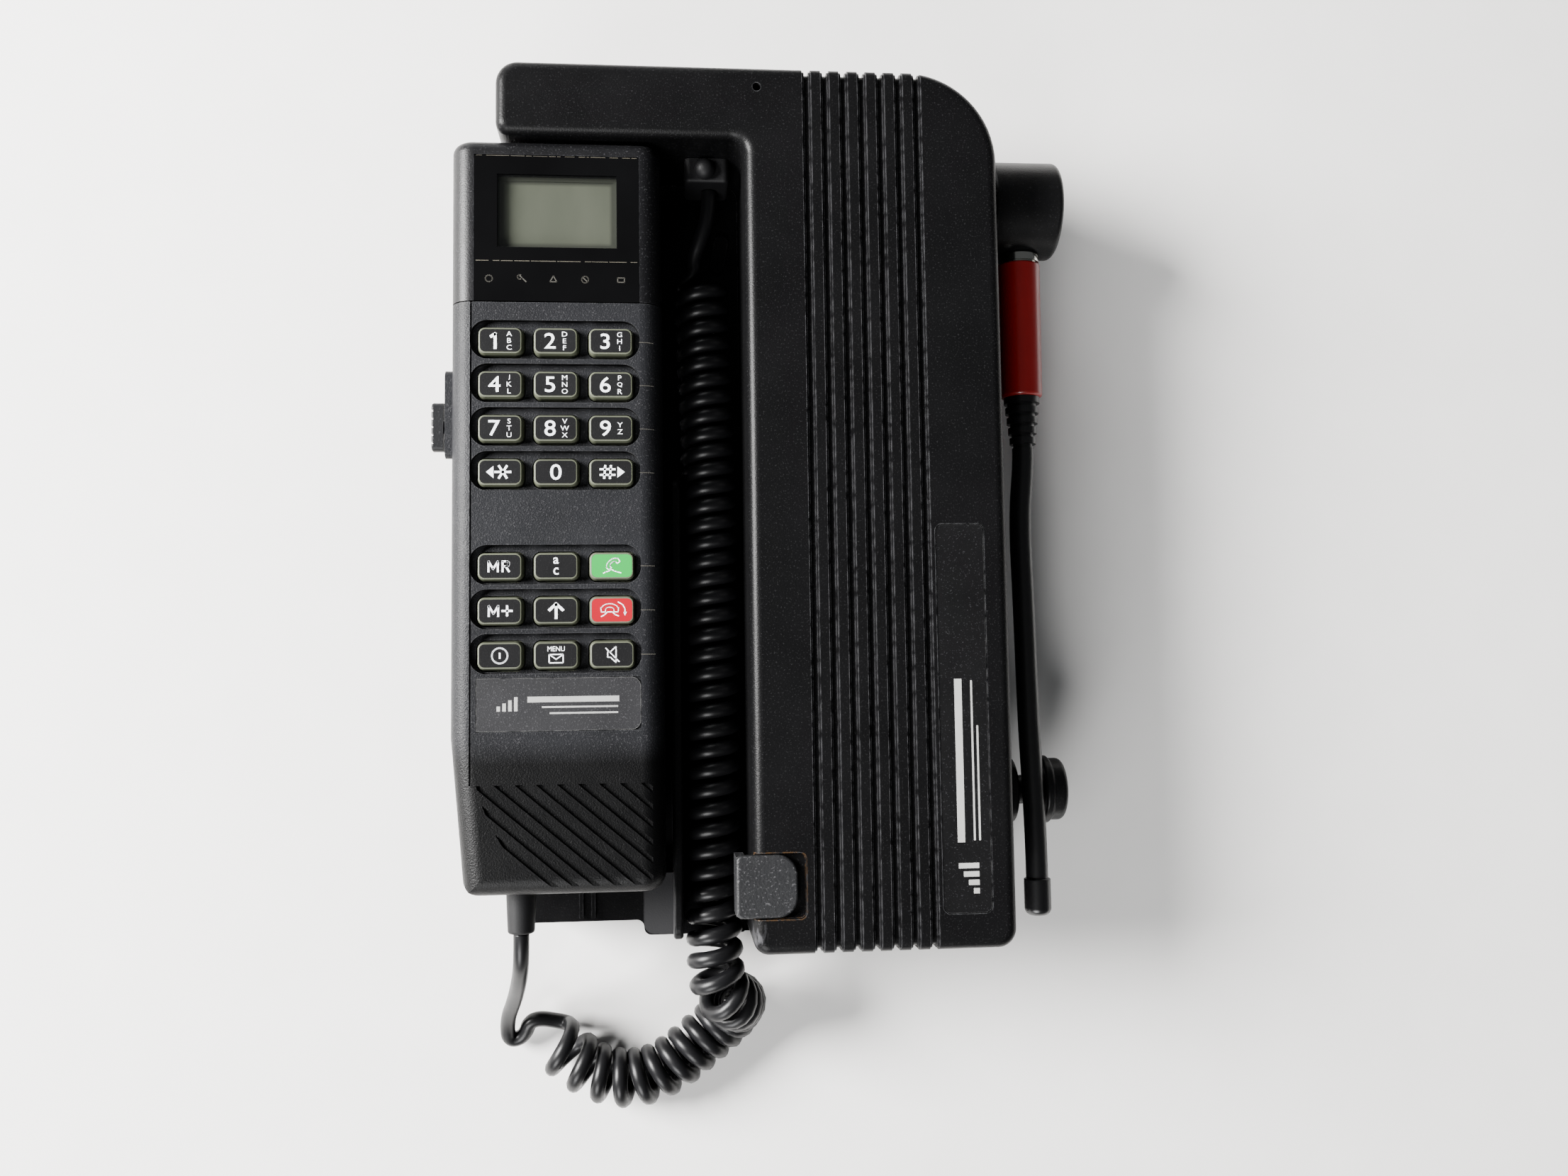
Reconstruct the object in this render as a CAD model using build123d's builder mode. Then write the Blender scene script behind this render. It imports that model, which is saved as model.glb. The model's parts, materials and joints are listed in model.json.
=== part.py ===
from build123d import *
import os
from math import pi, radians, tan

os.makedirs("parts", exist_ok=True)

# Transportable mobile telephone, lying on its back: an L-shaped transceiver case with a
# cradle, a corded handset, a curly cord in a trough and a swivelling antenna.
# Millimetres. X runs across, Y along the case towards its top, Z up from its back face.
# The origin is on the back face, midway along both outer dimensions.

# ---- Driving dimensions ------------------------------------------------------------

half_length = 119.5          # half the length of the case
case_left = -71.3            # left edge of the base and of the top bar
case_right = 65.5            # right wall, which carries the antenna
body_left = -4.5             # left wall of the deep body, one side of the cord trough
bar_bottom = 99.3            # wall of the top bar that faces the handset
case_top = 60.0
deck_top = 24.0              # floor of the cradle and of the cord trough
split_height = 22.0          # joint between the front and the rear housing
wall = 2.4
top_wall = 3.0
outer_reach = 89.0           # farthest pieces left and right of the origin

handset_center = -55.2       # middle of the handset across its width
handset_half_width = 28.1
handset_top = 98.3
handset_bottom = -102.9
face_height = 57.0           # keypad face
shell_split = 46.0           # joint between the handset's two shells
grip_back = 34.0             # underside of the grip
bulge_back = 26.5            # underside of the earpiece and mouthpiece ends
shell_wall = 2.2
cover_edge = 53.8            # joint between the display cover and the keypad shell
shell_gap = 0.15             # half of the visible gap at that joint

key_width, key_height = 12.1, 7.6
key_corner = 2.0
key_taper = 9.0              # degrees, on the part of the cap that stands in the recess
key_columns = (-69.9, -55.35, -40.8)
digit_rows = (43.0, 31.25, 19.5, 7.75)
function_rows = (-17.2, -28.9, -40.6)
key_top = 57.8
key_travel = 1.0
key_clearance = 0.35
row_recess = 2.0             # depth of the well round each row of keys
row_floor_wall = 1.6
row_shift = 0.5              # the wells sit a little above their keys

antenna_axis_x = 78.2        # the antenna lies beside the case, along -Y
hub_y, hub_z = 90.2, 32.0    # hinge axis, parallel to X
hub_radius = 13.95
hub_start = 68.0

wire_diameter = 4.4
coil_diameter = 16.0

KEY_NAMES = {
    (0, 0): "1", (1, 0): "2", (2, 0): "3",
    (0, 1): "4", (1, 1): "5", (2, 1): "6",
    (0, 2): "7", (1, 2): "8", (2, 2): "9",
    (0, 3): "star", (1, 3): "0", (2, 3): "hash",
    (0, 4): "recall", (1, 4): "clear", (2, 4): "send",
    (0, 5): "store", (1, 5): "up", (2, 5): "end",
    (0, 6): "power", (1, 6): "menu", (2, 6): "mute",
}
key_rows = digit_rows + function_rows
key_places = [(x, y) for y in key_rows for x in key_columns]


# ---- Shared shapes -----------------------------------------------------------------

def rounded_outline(points, radii, inset=0.0):
    """Closed outline through the points with one corner radius each, moved inwards."""
    with BuildSketch() as outline:
        with BuildLine():
            FilletPolyline(*points, radius=radii, close=True)
        make_face()
        if inset:
            offset(amount=-inset, mode=Mode.REPLACE)
    return outline.sketch


def box_between(low, high, mode=Mode.ADD):
    """Axis-aligned block given by two opposite corners."""
    size = [high[i] - low[i] for i in range(3)]
    middle = tuple((high[i] + low[i]) / 2 for i in range(3))
    with Locations(middle):
        Box(*size, mode=mode)


def rod_y(x, z, radius, start, end, mode=Mode.ADD):
    """Round rod along Y."""
    with BuildSketch(Plane.XZ.offset(-max(start, end))) as circle:
        with Locations((x, z)):
            Circle(radius)
    extrude(circle.sketch, amount=abs(start - end), mode=mode)


def rod_x(y, z, radius, start, end, mode=Mode.ADD):
    """Round rod along X."""
    with BuildSketch(Plane.YZ.offset(start)) as circle:
        with Locations((y, z)):
            Circle(radius)
    extrude(circle.sketch, amount=end - start, mode=mode)


case_points = [(case_left, half_length), (case_right, half_length), (case_right, -half_length),
               (body_left, -half_length), (body_left, bar_bottom), (case_left, bar_bottom)]
case_radii = [6, 25, 5, 4, 4, 3.5]
# the base is a little shorter to the left of the pillar
pillar_left = -33.4
deck_end = -115.2
base_points = [(case_left, half_length), (case_right, half_length),
               (case_right, -half_length), (pillar_left, -half_length),
               (pillar_left, deck_end), (case_left, deck_end)]
base_radii = [6, 25, 5, 2.1, 2.1, 6]

# ---- Front housing: body and top bar, with grooves, label recess and latch pocket ----

groove_first_x = 12.7
groove_pitch = 5.08
groove_count = 7
label_low, label_high = (45.5, -110.0), (58.8, -6.6)
label_depth = 0.7
latch_low_y, latch_high_y = -109.7, -93.4
latch_right = 7.2
latch_travel = 1.8
latch_floor = 58.2
screw_places = [(-63, 109), (3, 109), (55, 52), (0.6, -70), (0.6, 20)]
screw_boss_radius = 2.6
screw_radius = 1.5
jack_x = -14.2

with BuildPart() as front_housing:
    with BuildSketch(Plane.XY.offset(split_height)):
        add(rounded_outline(case_points, case_radii))
    extrude(amount=case_top - split_height)
    fillet(front_housing.faces().sort_by(Axis.Z)[-1].edges(), radius=3)
    with BuildSketch(Plane.XY.offset(split_height)):
        add(rounded_outline(case_points, case_radii, wall))
    extrude(amount=case_top - split_height - top_wall, mode=Mode.SUBTRACT)
    # stepped grooves that run along the top and down both ends
    for width, depth in ((2.4, 0.5), (1.3, 1.2)):
        for index in range(groove_count):
            groove_x = groove_first_x + index * groove_pitch
            with BuildSketch(Plane.YZ.offset(groove_x - width / 2)):
                with Locations((0, case_top / 2)):
                    Rectangle(2 * half_length + 4, case_top + 4)
                    RectangleRounded(2 * (half_length - depth), case_top - 2 * depth, 2.5,
                                     mode=Mode.SUBTRACT)
            extrude(amount=width, mode=Mode.SUBTRACT)
    # recess for the label plate
    with BuildSketch(Plane.XY.offset(case_top)):
        with Locations(((label_low[0] + label_high[0]) / 2, (label_low[1] + label_high[1]) / 2)):
            RectangleRounded(label_high[0] - label_low[0], label_high[1] - label_low[1], 2)
    extrude(amount=-label_depth, mode=Mode.SUBTRACT)
    # backing and pocket for the release latch
    box_between((body_left + 1.5, latch_low_y - 2.6, 54.5), (latch_right + 5, latch_high_y + 2.6, 57.5))
    pocket_right = latch_right + latch_travel + 0.4
    with BuildSketch(Plane.XY.offset(case_top + 1)):
        with Locations(((body_left - 2 + pocket_right) / 2, (latch_low_y + latch_high_y) / 2)):
            RectangleRounded(pocket_right - body_left + 2, latch_high_y - latch_low_y + 0.8, 1.8)
    extrude(amount=-(case_top + 1 - latch_floor), mode=Mode.SUBTRACT)
    # screw bosses, antenna boss and pin bore
    with BuildSketch(Plane.XY.offset(split_height)):
        with Locations(*screw_places):
            Circle(screw_boss_radius)
    extrude(amount=case_top - top_wall - split_height)
    with BuildSketch(Plane.XY.offset(split_height)):
        with Locations(*screw_places):
            Circle(screw_radius + 0.05)
    extrude(amount=14, mode=Mode.SUBTRACT)
    rod_x(hub_y, hub_z, 9.4, 52.0, hub_start - 0.5)
    rod_x(hub_y, hub_z, 3.5, 55.0, hub_start, mode=Mode.SUBTRACT)
    # sound hole at the top corner and jack opening in the bar
    with Locations((-1.0, 113.4, case_top)):
        Cylinder(1.15, 2 * top_wall + 1, mode=Mode.SUBTRACT)
    box_between((jack_x - 4.6, bar_bottom - 1, 31.5), (jack_x + 4.6, bar_bottom + 6, 42.5), Mode.SUBTRACT)
front_housing.part.label = "front_housing"
export_step(front_housing.part, "parts/front_housing.step")

with BuildPart() as label_plate:
    with BuildSketch(Plane.XY.offset(case_top - label_depth)):
        with Locations(((label_low[0] + label_high[0]) / 2, (label_low[1] + label_high[1]) / 2)):
            RectangleRounded(label_high[0] - label_low[0] - 0.3, label_high[1] - label_low[1] - 0.3, 1.85)
    extrude(amount=0.5)
label_plate.part.label = "label_plate"
export_step(label_plate.part, "parts/label_plate.step")

# ---- Release latch: a plate in its pocket with a lip over the left wall ---------------

with BuildPart() as release_latch:
    with BuildSketch(Plane.XY.offset(latch_floor + 0.3)):
        with BuildLine():
            FilletPolyline((-9.0, latch_high_y), (latch_right, latch_high_y), (latch_right, latch_low_y),
                           (-9.0, latch_low_y), radius=[1.5, 5.5, 5.5, 1.5], close=True)
        make_face()
    extrude(amount=1.9)
    box_between((-9.0, latch_low_y + 0.5, 48.5), (-6.6, latch_high_y - 0.5, latch_floor + 1.0))
    top_edges = release_latch.faces().sort_by(Axis.Z)[-1].edges()
    fillet(top_edges, radius=0.8)
release_latch.part.label = "release_latch"
export_step(release_latch.part, "parts/release_latch.step")

with BuildPart() as latch_spring:
    rod_x((latch_low_y + latch_high_y) / 2, 52.5, 2.0, 0.0, 10.0)
    rod_x((latch_low_y + latch_high_y) / 2, 52.5, 1.3, -1.0, 11.0, mode=Mode.SUBTRACT)
latch_spring.part.label = "latch_spring"
export_step(latch_spring.part, "parts/latch_spring.step")

# ---- Rear housing: tray with the battery bay -------------------------------------------

battery_left, battery_right = 8.5, 60.1
battery_top = 41.0
battery_low, battery_high = 0.6, 19.2
rail_low, rail_high = 9.0, 11.0
bay_gap = 0.6
bay_end = battery_top + 1.0
bay_wall = 2.2

with BuildPart() as rear_housing:
    with BuildSketch():
        add(rounded_outline(base_points, base_radii))
    extrude(amount=split_height)
    fillet(rear_housing.faces().sort_by(Axis.Z)[0].edges(), radius=1.5)
    with BuildSketch(Plane.XY.offset(bay_wall)):
        add(rounded_outline(base_points, base_radii, wall))
    extrude(amount=split_height, mode=Mode.SUBTRACT)
    box_between((battery_left - 4.2, -half_length + wall, 1),
                (case_right - 1, battery_top + 3.2, split_height))
    box_between((battery_left - bay_gap, -half_length - 1, -1),
                (battery_right + bay_gap, bay_end, battery_high + bay_gap), Mode.SUBTRACT)
    # slide rails of the bay
    box_between((battery_left - 2.0, -half_length - 1, rail_low - 0.4),
                (battery_right + 2.0, bay_end, rail_high + 0.4), Mode.SUBTRACT)
    with BuildSketch(Plane.XY.offset(1)):
        with Locations(*screw_places):
            Circle(3.6)
    extrude(amount=split_height - 1)
    with BuildSketch():
        with Locations(*screw_places):
            Circle(2.7)
    extrude(amount=3.0, mode=Mode.SUBTRACT)
    with BuildSketch():
        with Locations(*screw_places):
            Circle(screw_radius + 0.1)
    extrude(amount=split_height, mode=Mode.SUBTRACT)
    # pockets for the rubber pads
    pad_places = [(-62, 96), (56, 74), (-62, -108), (-4, -108)]
    with BuildSketch():
        with Locations(*pad_places):
            Circle(5.0)
    extrude(amount=1.2, mode=Mode.SUBTRACT)
rear_housing.part.label = "rear_housing"
export_step(rear_housing.part, "parts/rear_housing.step")

with BuildPart() as rubber_pads:
    with BuildSketch():
        with Locations(*pad_places):
            Circle(4.9)
    extrude(amount=1.2)
rubber_pads.part.label = "rubber_pads"
export_step(rubber_pads.part, "parts/rubber_pads.step")

with BuildPart() as housing_screws:
    with BuildSketch(Plane.XY.offset(0.6)):
        with Locations(*screw_places):
            Circle(2.5)
    extrude(amount=2.4)
    with BuildSketch(Plane.XY.offset(3.0)):
        with Locations(*screw_places):
            Circle(screw_radius)
    extrude(amount=28)
    with BuildSketch(Plane.XY.offset(0.6)):
        with Locations(*screw_places):
            RegularPolygon(1.3, 6)
    extrude(amount=1.5, mode=Mode.SUBTRACT)
housing_screws.part.label = "housing_screws"
export_step(housing_screws.part, "parts/housing_screws.step")

# ---- Cradle: deck, saddles, pillar and the rib beside the cord trough ---------------------

rib_left, rib_right = -25.2, -22.5
rib_top = 43.5
rib_start = 10.7
saddle_top = grip_back - 0.5
cradle_right = body_left - 0.1
cradle_points = [(case_left, bar_bottom - 0.1), (cradle_right, bar_bottom - 0.1),
                 (cradle_right, -half_length), (pillar_left, -half_length),
                 (pillar_left, deck_end), (case_left, deck_end)]
cradle_radii = [1, 4.2, 1, 2.1, 2.1, 6]
pillar_top = 32.5


with BuildPart() as cradle:
    with BuildSketch(Plane.XY.offset(split_height)):
        add(rounded_outline(cradle_points, cradle_radii))
    extrude(amount=deck_top - split_height)
    # rib with a rounded ear at its upper end
    with BuildSketch(Plane.YZ.offset(rib_left)):
        with BuildLine():
            FilletPolyline((rib_start, deck_top - 1), (rib_start, rib_top),
                           (-half_length + 1.5, rib_top), (-half_length + 1.5, deck_top - 1),
                           radius=[0, 7, 4, 0], close=True)
        make_face()
    extrude(amount=rib_right - rib_left)
    fillet(cradle.faces().sort_by(Axis.Z)[-1].edges().filter_by(Axis.Y), radius=0.9)
    # pillar at the lower end
    with BuildSketch(Plane.XY.offset(deck_top - 0.5)):
        with BuildLine():
            FilletPolyline((pillar_left, -101.0), (rib_left, -101.0), (rib_left, -half_length + 1.8),
                           (pillar_left, -half_length + 1.8), radius=[1.5, 0, 0, 3.0], close=True)
        make_face()
    extrude(amount=pillar_top - deck_top + 0.5)
    # saddles under the two ends of the grip
    for saddle_y in (54.5, -57.5):
        box_between((-69, saddle_y - 1.8, deck_top - 0.5), (-36, saddle_y + 1.8, saddle_top))
        for side_x in (-68, -38.5):
            box_between((side_x, saddle_y - 8, deck_top - 0.5), (side_x + 2, saddle_y + 8, deck_top + 1.6))
    # twin ribs on the lower deck, and a lozenge boss at the top of the trough
    for rib_x in (-51.6, -48.2):
        box_between((rib_x, deck_end + 1, deck_top - 0.5), (rib_x + 1.1, -104.5, deck_top + 1.1))
    with BuildSketch(Plane.XY.offset(deck_top - 0.5)):
        with Locations(Location((-10.2, 78, 0), 80)):
            SlotOverall(11, 4)
    extrude(amount=2.2)
    # clearance for the screw under the deck's edge
    with BuildSketch(Plane.XY.offset(split_height - 1)):
        with Locations(*screw_places):
            Circle(screw_boss_radius + 0.3)
    extrude(amount=1.0 + deck_top - split_height, mode=Mode.SUBTRACT)
cradle.part.label = "cradle"
export_step(cradle.part, "parts/cradle.step")

# ---- Battery pack: case, cover, cells and contacts ------------------------------------------

with BuildPart() as battery_case:
    box_between((battery_left, -half_length, battery_low), (battery_right, battery_top, battery_high - 2.0))
    fillet(battery_case.edges().filter_by(Axis.Z), radius=1.2)
    fillet(battery_case.faces().sort_by(Axis.Z)[0].edges(), radius=0.8)
    box_between((battery_left + 2, -half_length + 2, battery_low + 2),
                (battery_right - 2, battery_top - 2, battery_high), Mode.SUBTRACT)
    for rail_left, rail_right in ((battery_left - 1.5, battery_left + 0.5),
                                  (battery_right - 0.5, battery_right + 1.5)):
        box_between((rail_left, -half_length + 3, rail_low), (rail_right, battery_top - 4, rail_high))
battery_case.part.label = "battery_case"
export_step(battery_case.part, "parts/battery_case.step")

with BuildPart() as battery_cover:
    box_between((battery_left, -half_length, battery_high - 2.0),
                (battery_right, battery_top, battery_high))
    fillet(battery_cover.edges().filter_by(Axis.Z), radius=1.2)
battery_cover.part.label = "battery_cover"
export_step(battery_cover.part, "parts/battery_cover.step")

cell_radius = 6.8
cell_length = 66.0
cell_places = [(x, y) for y in (-112.0, -40.0) for x in (18.0, 34.3, 50.6)]
cell_height = battery_low + 2.2 + cell_radius

with BuildPart() as battery_cells:
    for cell_x, cell_y in cell_places:
        rod_y(cell_x, cell_height, cell_radius, cell_y, cell_y + cell_length)
        rod_y(cell_x, cell_height, 2.2, cell_y + cell_length, cell_y + cell_length + 1.4)
battery_cells.part.label = "battery_cells"
export_step(battery_cells.part, "parts/battery_cells.step")

with BuildPart() as battery_contacts:
    for contact_x in (22.0, 30.0, 38.0, 46.0):
        box_between((contact_x - 1.5, bay_end - 0.4, 10.0), (contact_x + 1.5, bay_end, 16.0))
battery_contacts.part.label = "battery_contacts"
export_step(battery_contacts.part, "parts/battery_contacts.step")

# ---- Radio: main board and screening can -------------------------------------------------------

with BuildPart() as main_board:
    box_between((-1.5, -88, 44.0), (62, 88, 45.6))
    with BuildSketch(Plane.XY.offset(44)):
        with Locations((0.6, -70), (0.6, 20), (55, 52)):
            Circle(4)
    extrude(amount=1.6, mode=Mode.SUBTRACT)
main_board.part.label = "main_board"
export_step(main_board.part, "parts/main_board.step")

with BuildPart() as rf_shield:
    box_between((6, -60, 45.6), (50, 40, 53.0))
    fillet(rf_shield.edges().filter_by(Axis.Z), radius=1.5)
    box_between((6.6, -59.4, 45.0), (49.4, 39.4, 52.4), Mode.SUBTRACT)
    with BuildSketch(Plane.XY.offset(52)):
        with Locations((28, -10)):
            with GridLocations(6, 6, 5, 12):
                Circle(1.2)
    extrude(amount=2, mode=Mode.SUBTRACT)
rf_shield.part.label = "rf_shield"
export_step(rf_shield.part, "parts/rf_shield.step")

# ---- Strap stud: a spool on the right wall, whose groove also lets the antenna pass ------------

stud_y, stud_z = -80.8, 24.0

with BuildPart() as strap_stud:
    with BuildSketch(Plane.XY):
        with BuildLine():
            FilletPolyline((case_right, 0), (case_right, 9.6), (74.2, 9.6), (74.2, 4.2), (82.2, 4.2),
                           (82.2, 9.8), (84.2, 9.8), (84.9, 9.0), (88.9, 9.0), (88.9, 0),
                           radius=[0, 0, 1.0, 0.8, 0.8, 0.8, 0.4, 0.4, 1.6, 0], close=True)
        make_face()
    revolve(axis=Axis.X)
    strap_stud.part.position = (0, stud_y, stud_z)
strap_stud.part.label = "strap_stud"
export_step(strap_stud.part, "parts/strap_stud.step")

# ---- Antenna: pin, hub, ring, sleeve, ribbed grip, whip and tip -----------------------------------

ring_start, sleeve_start = 76.2, 73.7
grip_start, whip_start = 34.0, 19.0
tip_start, tip_end = -105.4, -115.9
neck_radius = 5.6

with BuildPart() as antenna_axle:
    rod_x(hub_y, hub_z, 3.5, 56.0, 84.0)
antenna_axle.part.label = "antenna_axle"
export_step(antenna_axle.part, "parts/antenna_axle.step")

with BuildPart() as antenna_hub:
    rod_x(hub_y, hub_z, hub_radius, hub_start, outer_reach)
    fillet(antenna_hub.edges().filter_by(GeomType.CIRCLE), radius=1.8)
    rod_y(antenna_axis_x, hub_z, neck_radius, hub_y - 8, ring_start)
    rod_x(hub_y, hub_z, 3.55, hub_start - 1, 84.4, mode=Mode.SUBTRACT)
antenna_hub.part.label = "antenna_hub"
export_step(antenna_hub.part, "parts/antenna_hub.step")

with BuildPart() as antenna_ring:
    rod_y(antenna_axis_x, hub_z, 6.2, ring_start, sleeve_start + 0.5)
    rod_y(antenna_axis_x, hub_z, 5.4, sleeve_start + 0.5, sleeve_start)
antenna_ring.part.label = "antenna_ring"
export_step(antenna_ring.part, "parts/antenna_ring.step")

# each section is a profile of (radius, distance along the antenna), turned about its axis
def turned_section(profile, corner_radii, center_x=antenna_axis_x):
    """Solid of revolution about a line along the antenna."""
    with BuildSketch(Plane.XY.offset(hub_z)) as section:
        with BuildLine():
            FilletPolyline(*[(center_x + r, y) for r, y in profile],
                           radius=corner_radii, close=True)
        make_face()
    revolve(section.sketch, axis=Axis((center_x, 0, hub_z), (0, 1, 0)))


with BuildPart() as antenna_sleeve:
    turned_section([(0, sleeve_start), (6.4, sleeve_start), (6.1, grip_start), (0, grip_start)],
                   [0, 0.6, 1.0, 0])
antenna_sleeve.part.label = "antenna_sleeve"
export_step(antenna_sleeve.part, "parts/antenna_sleeve.step")

grip_ribs = 5
grip_pitch = (grip_start - whip_start) / grip_ribs
grip_profile = [(0, grip_start)]
for rib in range(grip_ribs):
    rib_radius = 5.2 - 0.35 * rib
    rib_y = grip_start - rib * grip_pitch
    grip_profile += [(rib_radius, rib_y), (rib_radius, rib_y - 0.62 * grip_pitch),
                     (rib_radius - 1.0, rib_y - 0.62 * grip_pitch), (rib_radius - 1.0, rib_y - grip_pitch)]
grip_profile.append((0, whip_start))

with BuildPart() as antenna_grip:
    turned_section(grip_profile, 0)
antenna_grip.part.label = "antenna_grip"
export_step(antenna_grip.part, "parts/antenna_grip.step")

# the rubber whip has taken a slight bend from lying against the case
whip_radius = 3.15
tip_x = antenna_axis_x + 0.6
whip_line = [(antenna_axis_x, whip_start), (77.1, 3.0), (77.0, -22.0), (77.7, -62.0), (tip_x, tip_start)]

with BuildPart() as antenna_whip:
    with BuildLine() as whip_path:
        Spline(*[(x, y, hub_z) for x, y in whip_line], tangents=((0, -1, 0), (0, -1, 0)))
    with BuildSketch(Plane(origin=(antenna_axis_x, whip_start, hub_z), z_dir=(0, -1, 0))) as whip_section:
        Circle(whip_radius)
    sweep(whip_section.sketch, path=whip_path.line)
antenna_whip.part.label = "antenna_whip"
export_step(antenna_whip.part, "parts/antenna_whip.step")

with BuildPart() as antenna_tip:
    turned_section([(0, tip_start), (3.8, tip_start), (3.8, tip_end), (0, tip_end)],
                   [0, 0.4, 2.2, 0], tip_x)
antenna_tip.part.label = "antenna_tip"
export_step(antenna_tip.part, "parts/antenna_tip.step")

# ---- Handset shells ---------------------------------------------------------------------------------

shoulder_radius = 6.0


def handset_section(y_start, z_low, z_high, corner, inset=0.0):
    """Cross-section of a handset shell, drawn on a plane across the handset."""
    half = handset_half_width - inset
    with BuildSketch(Plane.XZ.offset(-y_start)) as section:
        with BuildLine():
            FilletPolyline((handset_center - half, z_low), (handset_center - half, z_high),
                           (handset_center + half, z_high), (handset_center + half, z_low),
                           radius=[0, corner, corner, 0], close=True)
        make_face()
    return section.sketch


def round_end(part, end, radius):
    """Fillet the outer edges of the shell's top or bottom end, but not its joint edge."""
    end_face = part.faces().filter_by(Axis.Y).sort_by(Axis.Y)[-1 if end > 0 else 0]
    edges = end_face.edges().filter_by(lambda edge: edge.center().Z > shell_split + 0.01)
    fillet(edges, radius=radius)


lean_start = -62.0           # from here to the mouth end the left side leans in
lean_inset = 3.6
end_corner = 5.5


def leaning_side(inset=0.0):
    """All that may lie inside the handset's left side, which leans in near the mouth end."""
    left = handset_center - handset_half_width + inset
    beyond = handset_center + 2 * handset_half_width
    with BuildPart() as region:
        box_between((left, lean_start, 0), (beyond, handset_top + 1, face_height + 1))
        with BuildSketch(Plane.XZ.offset(-lean_start)) as section:
            with BuildLine():
                FilletPolyline((left, 0), (left, face_height - inset),
                               (beyond, face_height - inset), (beyond, 0),
                               radius=[0, shoulder_radius - inset, 0, 0], close=True)
            make_face()
        fall = lean_start - handset_bottom + 1
        slope = lean_inset / (lean_start - handset_bottom)
        extrude(section.sketch, amount=fall * (1 + slope**2) ** 0.5, dir=(slope, -1, 0))
        # rounded corner at the mouth end
        with BuildSketch() as outline:
            with BuildLine():
                FilletPolyline((left, handset_top + 1), (left, lean_start),
                               (left + lean_inset, handset_bottom + inset),
                               (beyond, handset_bottom + inset), (beyond, handset_top + 1),
                               radius=[0, 0, end_corner - inset, 0, 0], close=True)
            make_face()
        extrude(outline.sketch, amount=face_height + 1, mode=Mode.INTERSECT)
    return region.part


lean_outside, lean_inside = leaning_side(), leaning_side(shell_wall)

lens_low, lens_high = (-76.9, cover_edge + shell_gap), (-33.2, 94.0)
lens_thickness = 0.8
window_low, window_high = (-71.0, 68.6), (-39.0, 88.8)

with BuildPart() as display_cover:
    extrude(handset_section(handset_top, shell_split, face_height, shoulder_radius),
            amount=handset_top - cover_edge - shell_gap, dir=(0, -1, 0))
    round_end(display_cover, 1, 3.0)
    extrude(handset_section(handset_top - shell_wall, shell_split - 1, face_height - shell_wall,
                            shoulder_radius - shell_wall, shell_wall),
            amount=handset_top - cover_edge, dir=(0, -1, 0), mode=Mode.SUBTRACT)
    box_between((lens_low[0] - 0.1, lens_low[1] - 1.0, face_height - lens_thickness),
                (lens_high[0] + 0.1, lens_high[1] + 0.1, face_height + 1), Mode.SUBTRACT)
    box_between((*window_low, face_height - 4), (*window_high, face_height), Mode.SUBTRACT)
display_cover.part.label = "display_cover"
export_step(display_cover.part, "parts/display_cover.step")

with BuildPart() as display_lens:
    box_between((*lens_low, face_height - lens_thickness), (*lens_high, face_height))
    fillet(display_lens.edges().filter_by(Axis.Z).sort_by(Axis.Y)[-2:], radius=0.6)
display_lens.part.label = "display_lens"
export_step(display_lens.part, "parts/display_lens.step")

handset_label_low, handset_label_high = (-76.0, -60.3), (-33.4, -46.5)
groove_slope = 40.4
mouth_top, mouth_bottom = -74.2, -102.2
mouth_pitch = 5.41
slider_y = 21.3
slider_travel = 7.0
slider_slot = (slider_y - 1.9, slider_y + slider_travel + 1.9)
plinth_low, plinth_high = 12.8, 36.7

shell_length = cover_edge - shell_gap - handset_bottom

with BuildPart() as front_cavity:
    extrude(handset_section(cover_edge + 1, shell_split - 1, face_height - shell_wall,
                            shoulder_radius - shell_wall, shell_wall),
            amount=shell_length + 1 - shell_wall, dir=(0, -1, 0))
    add(lean_inside, mode=Mode.INTERSECT)

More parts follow.
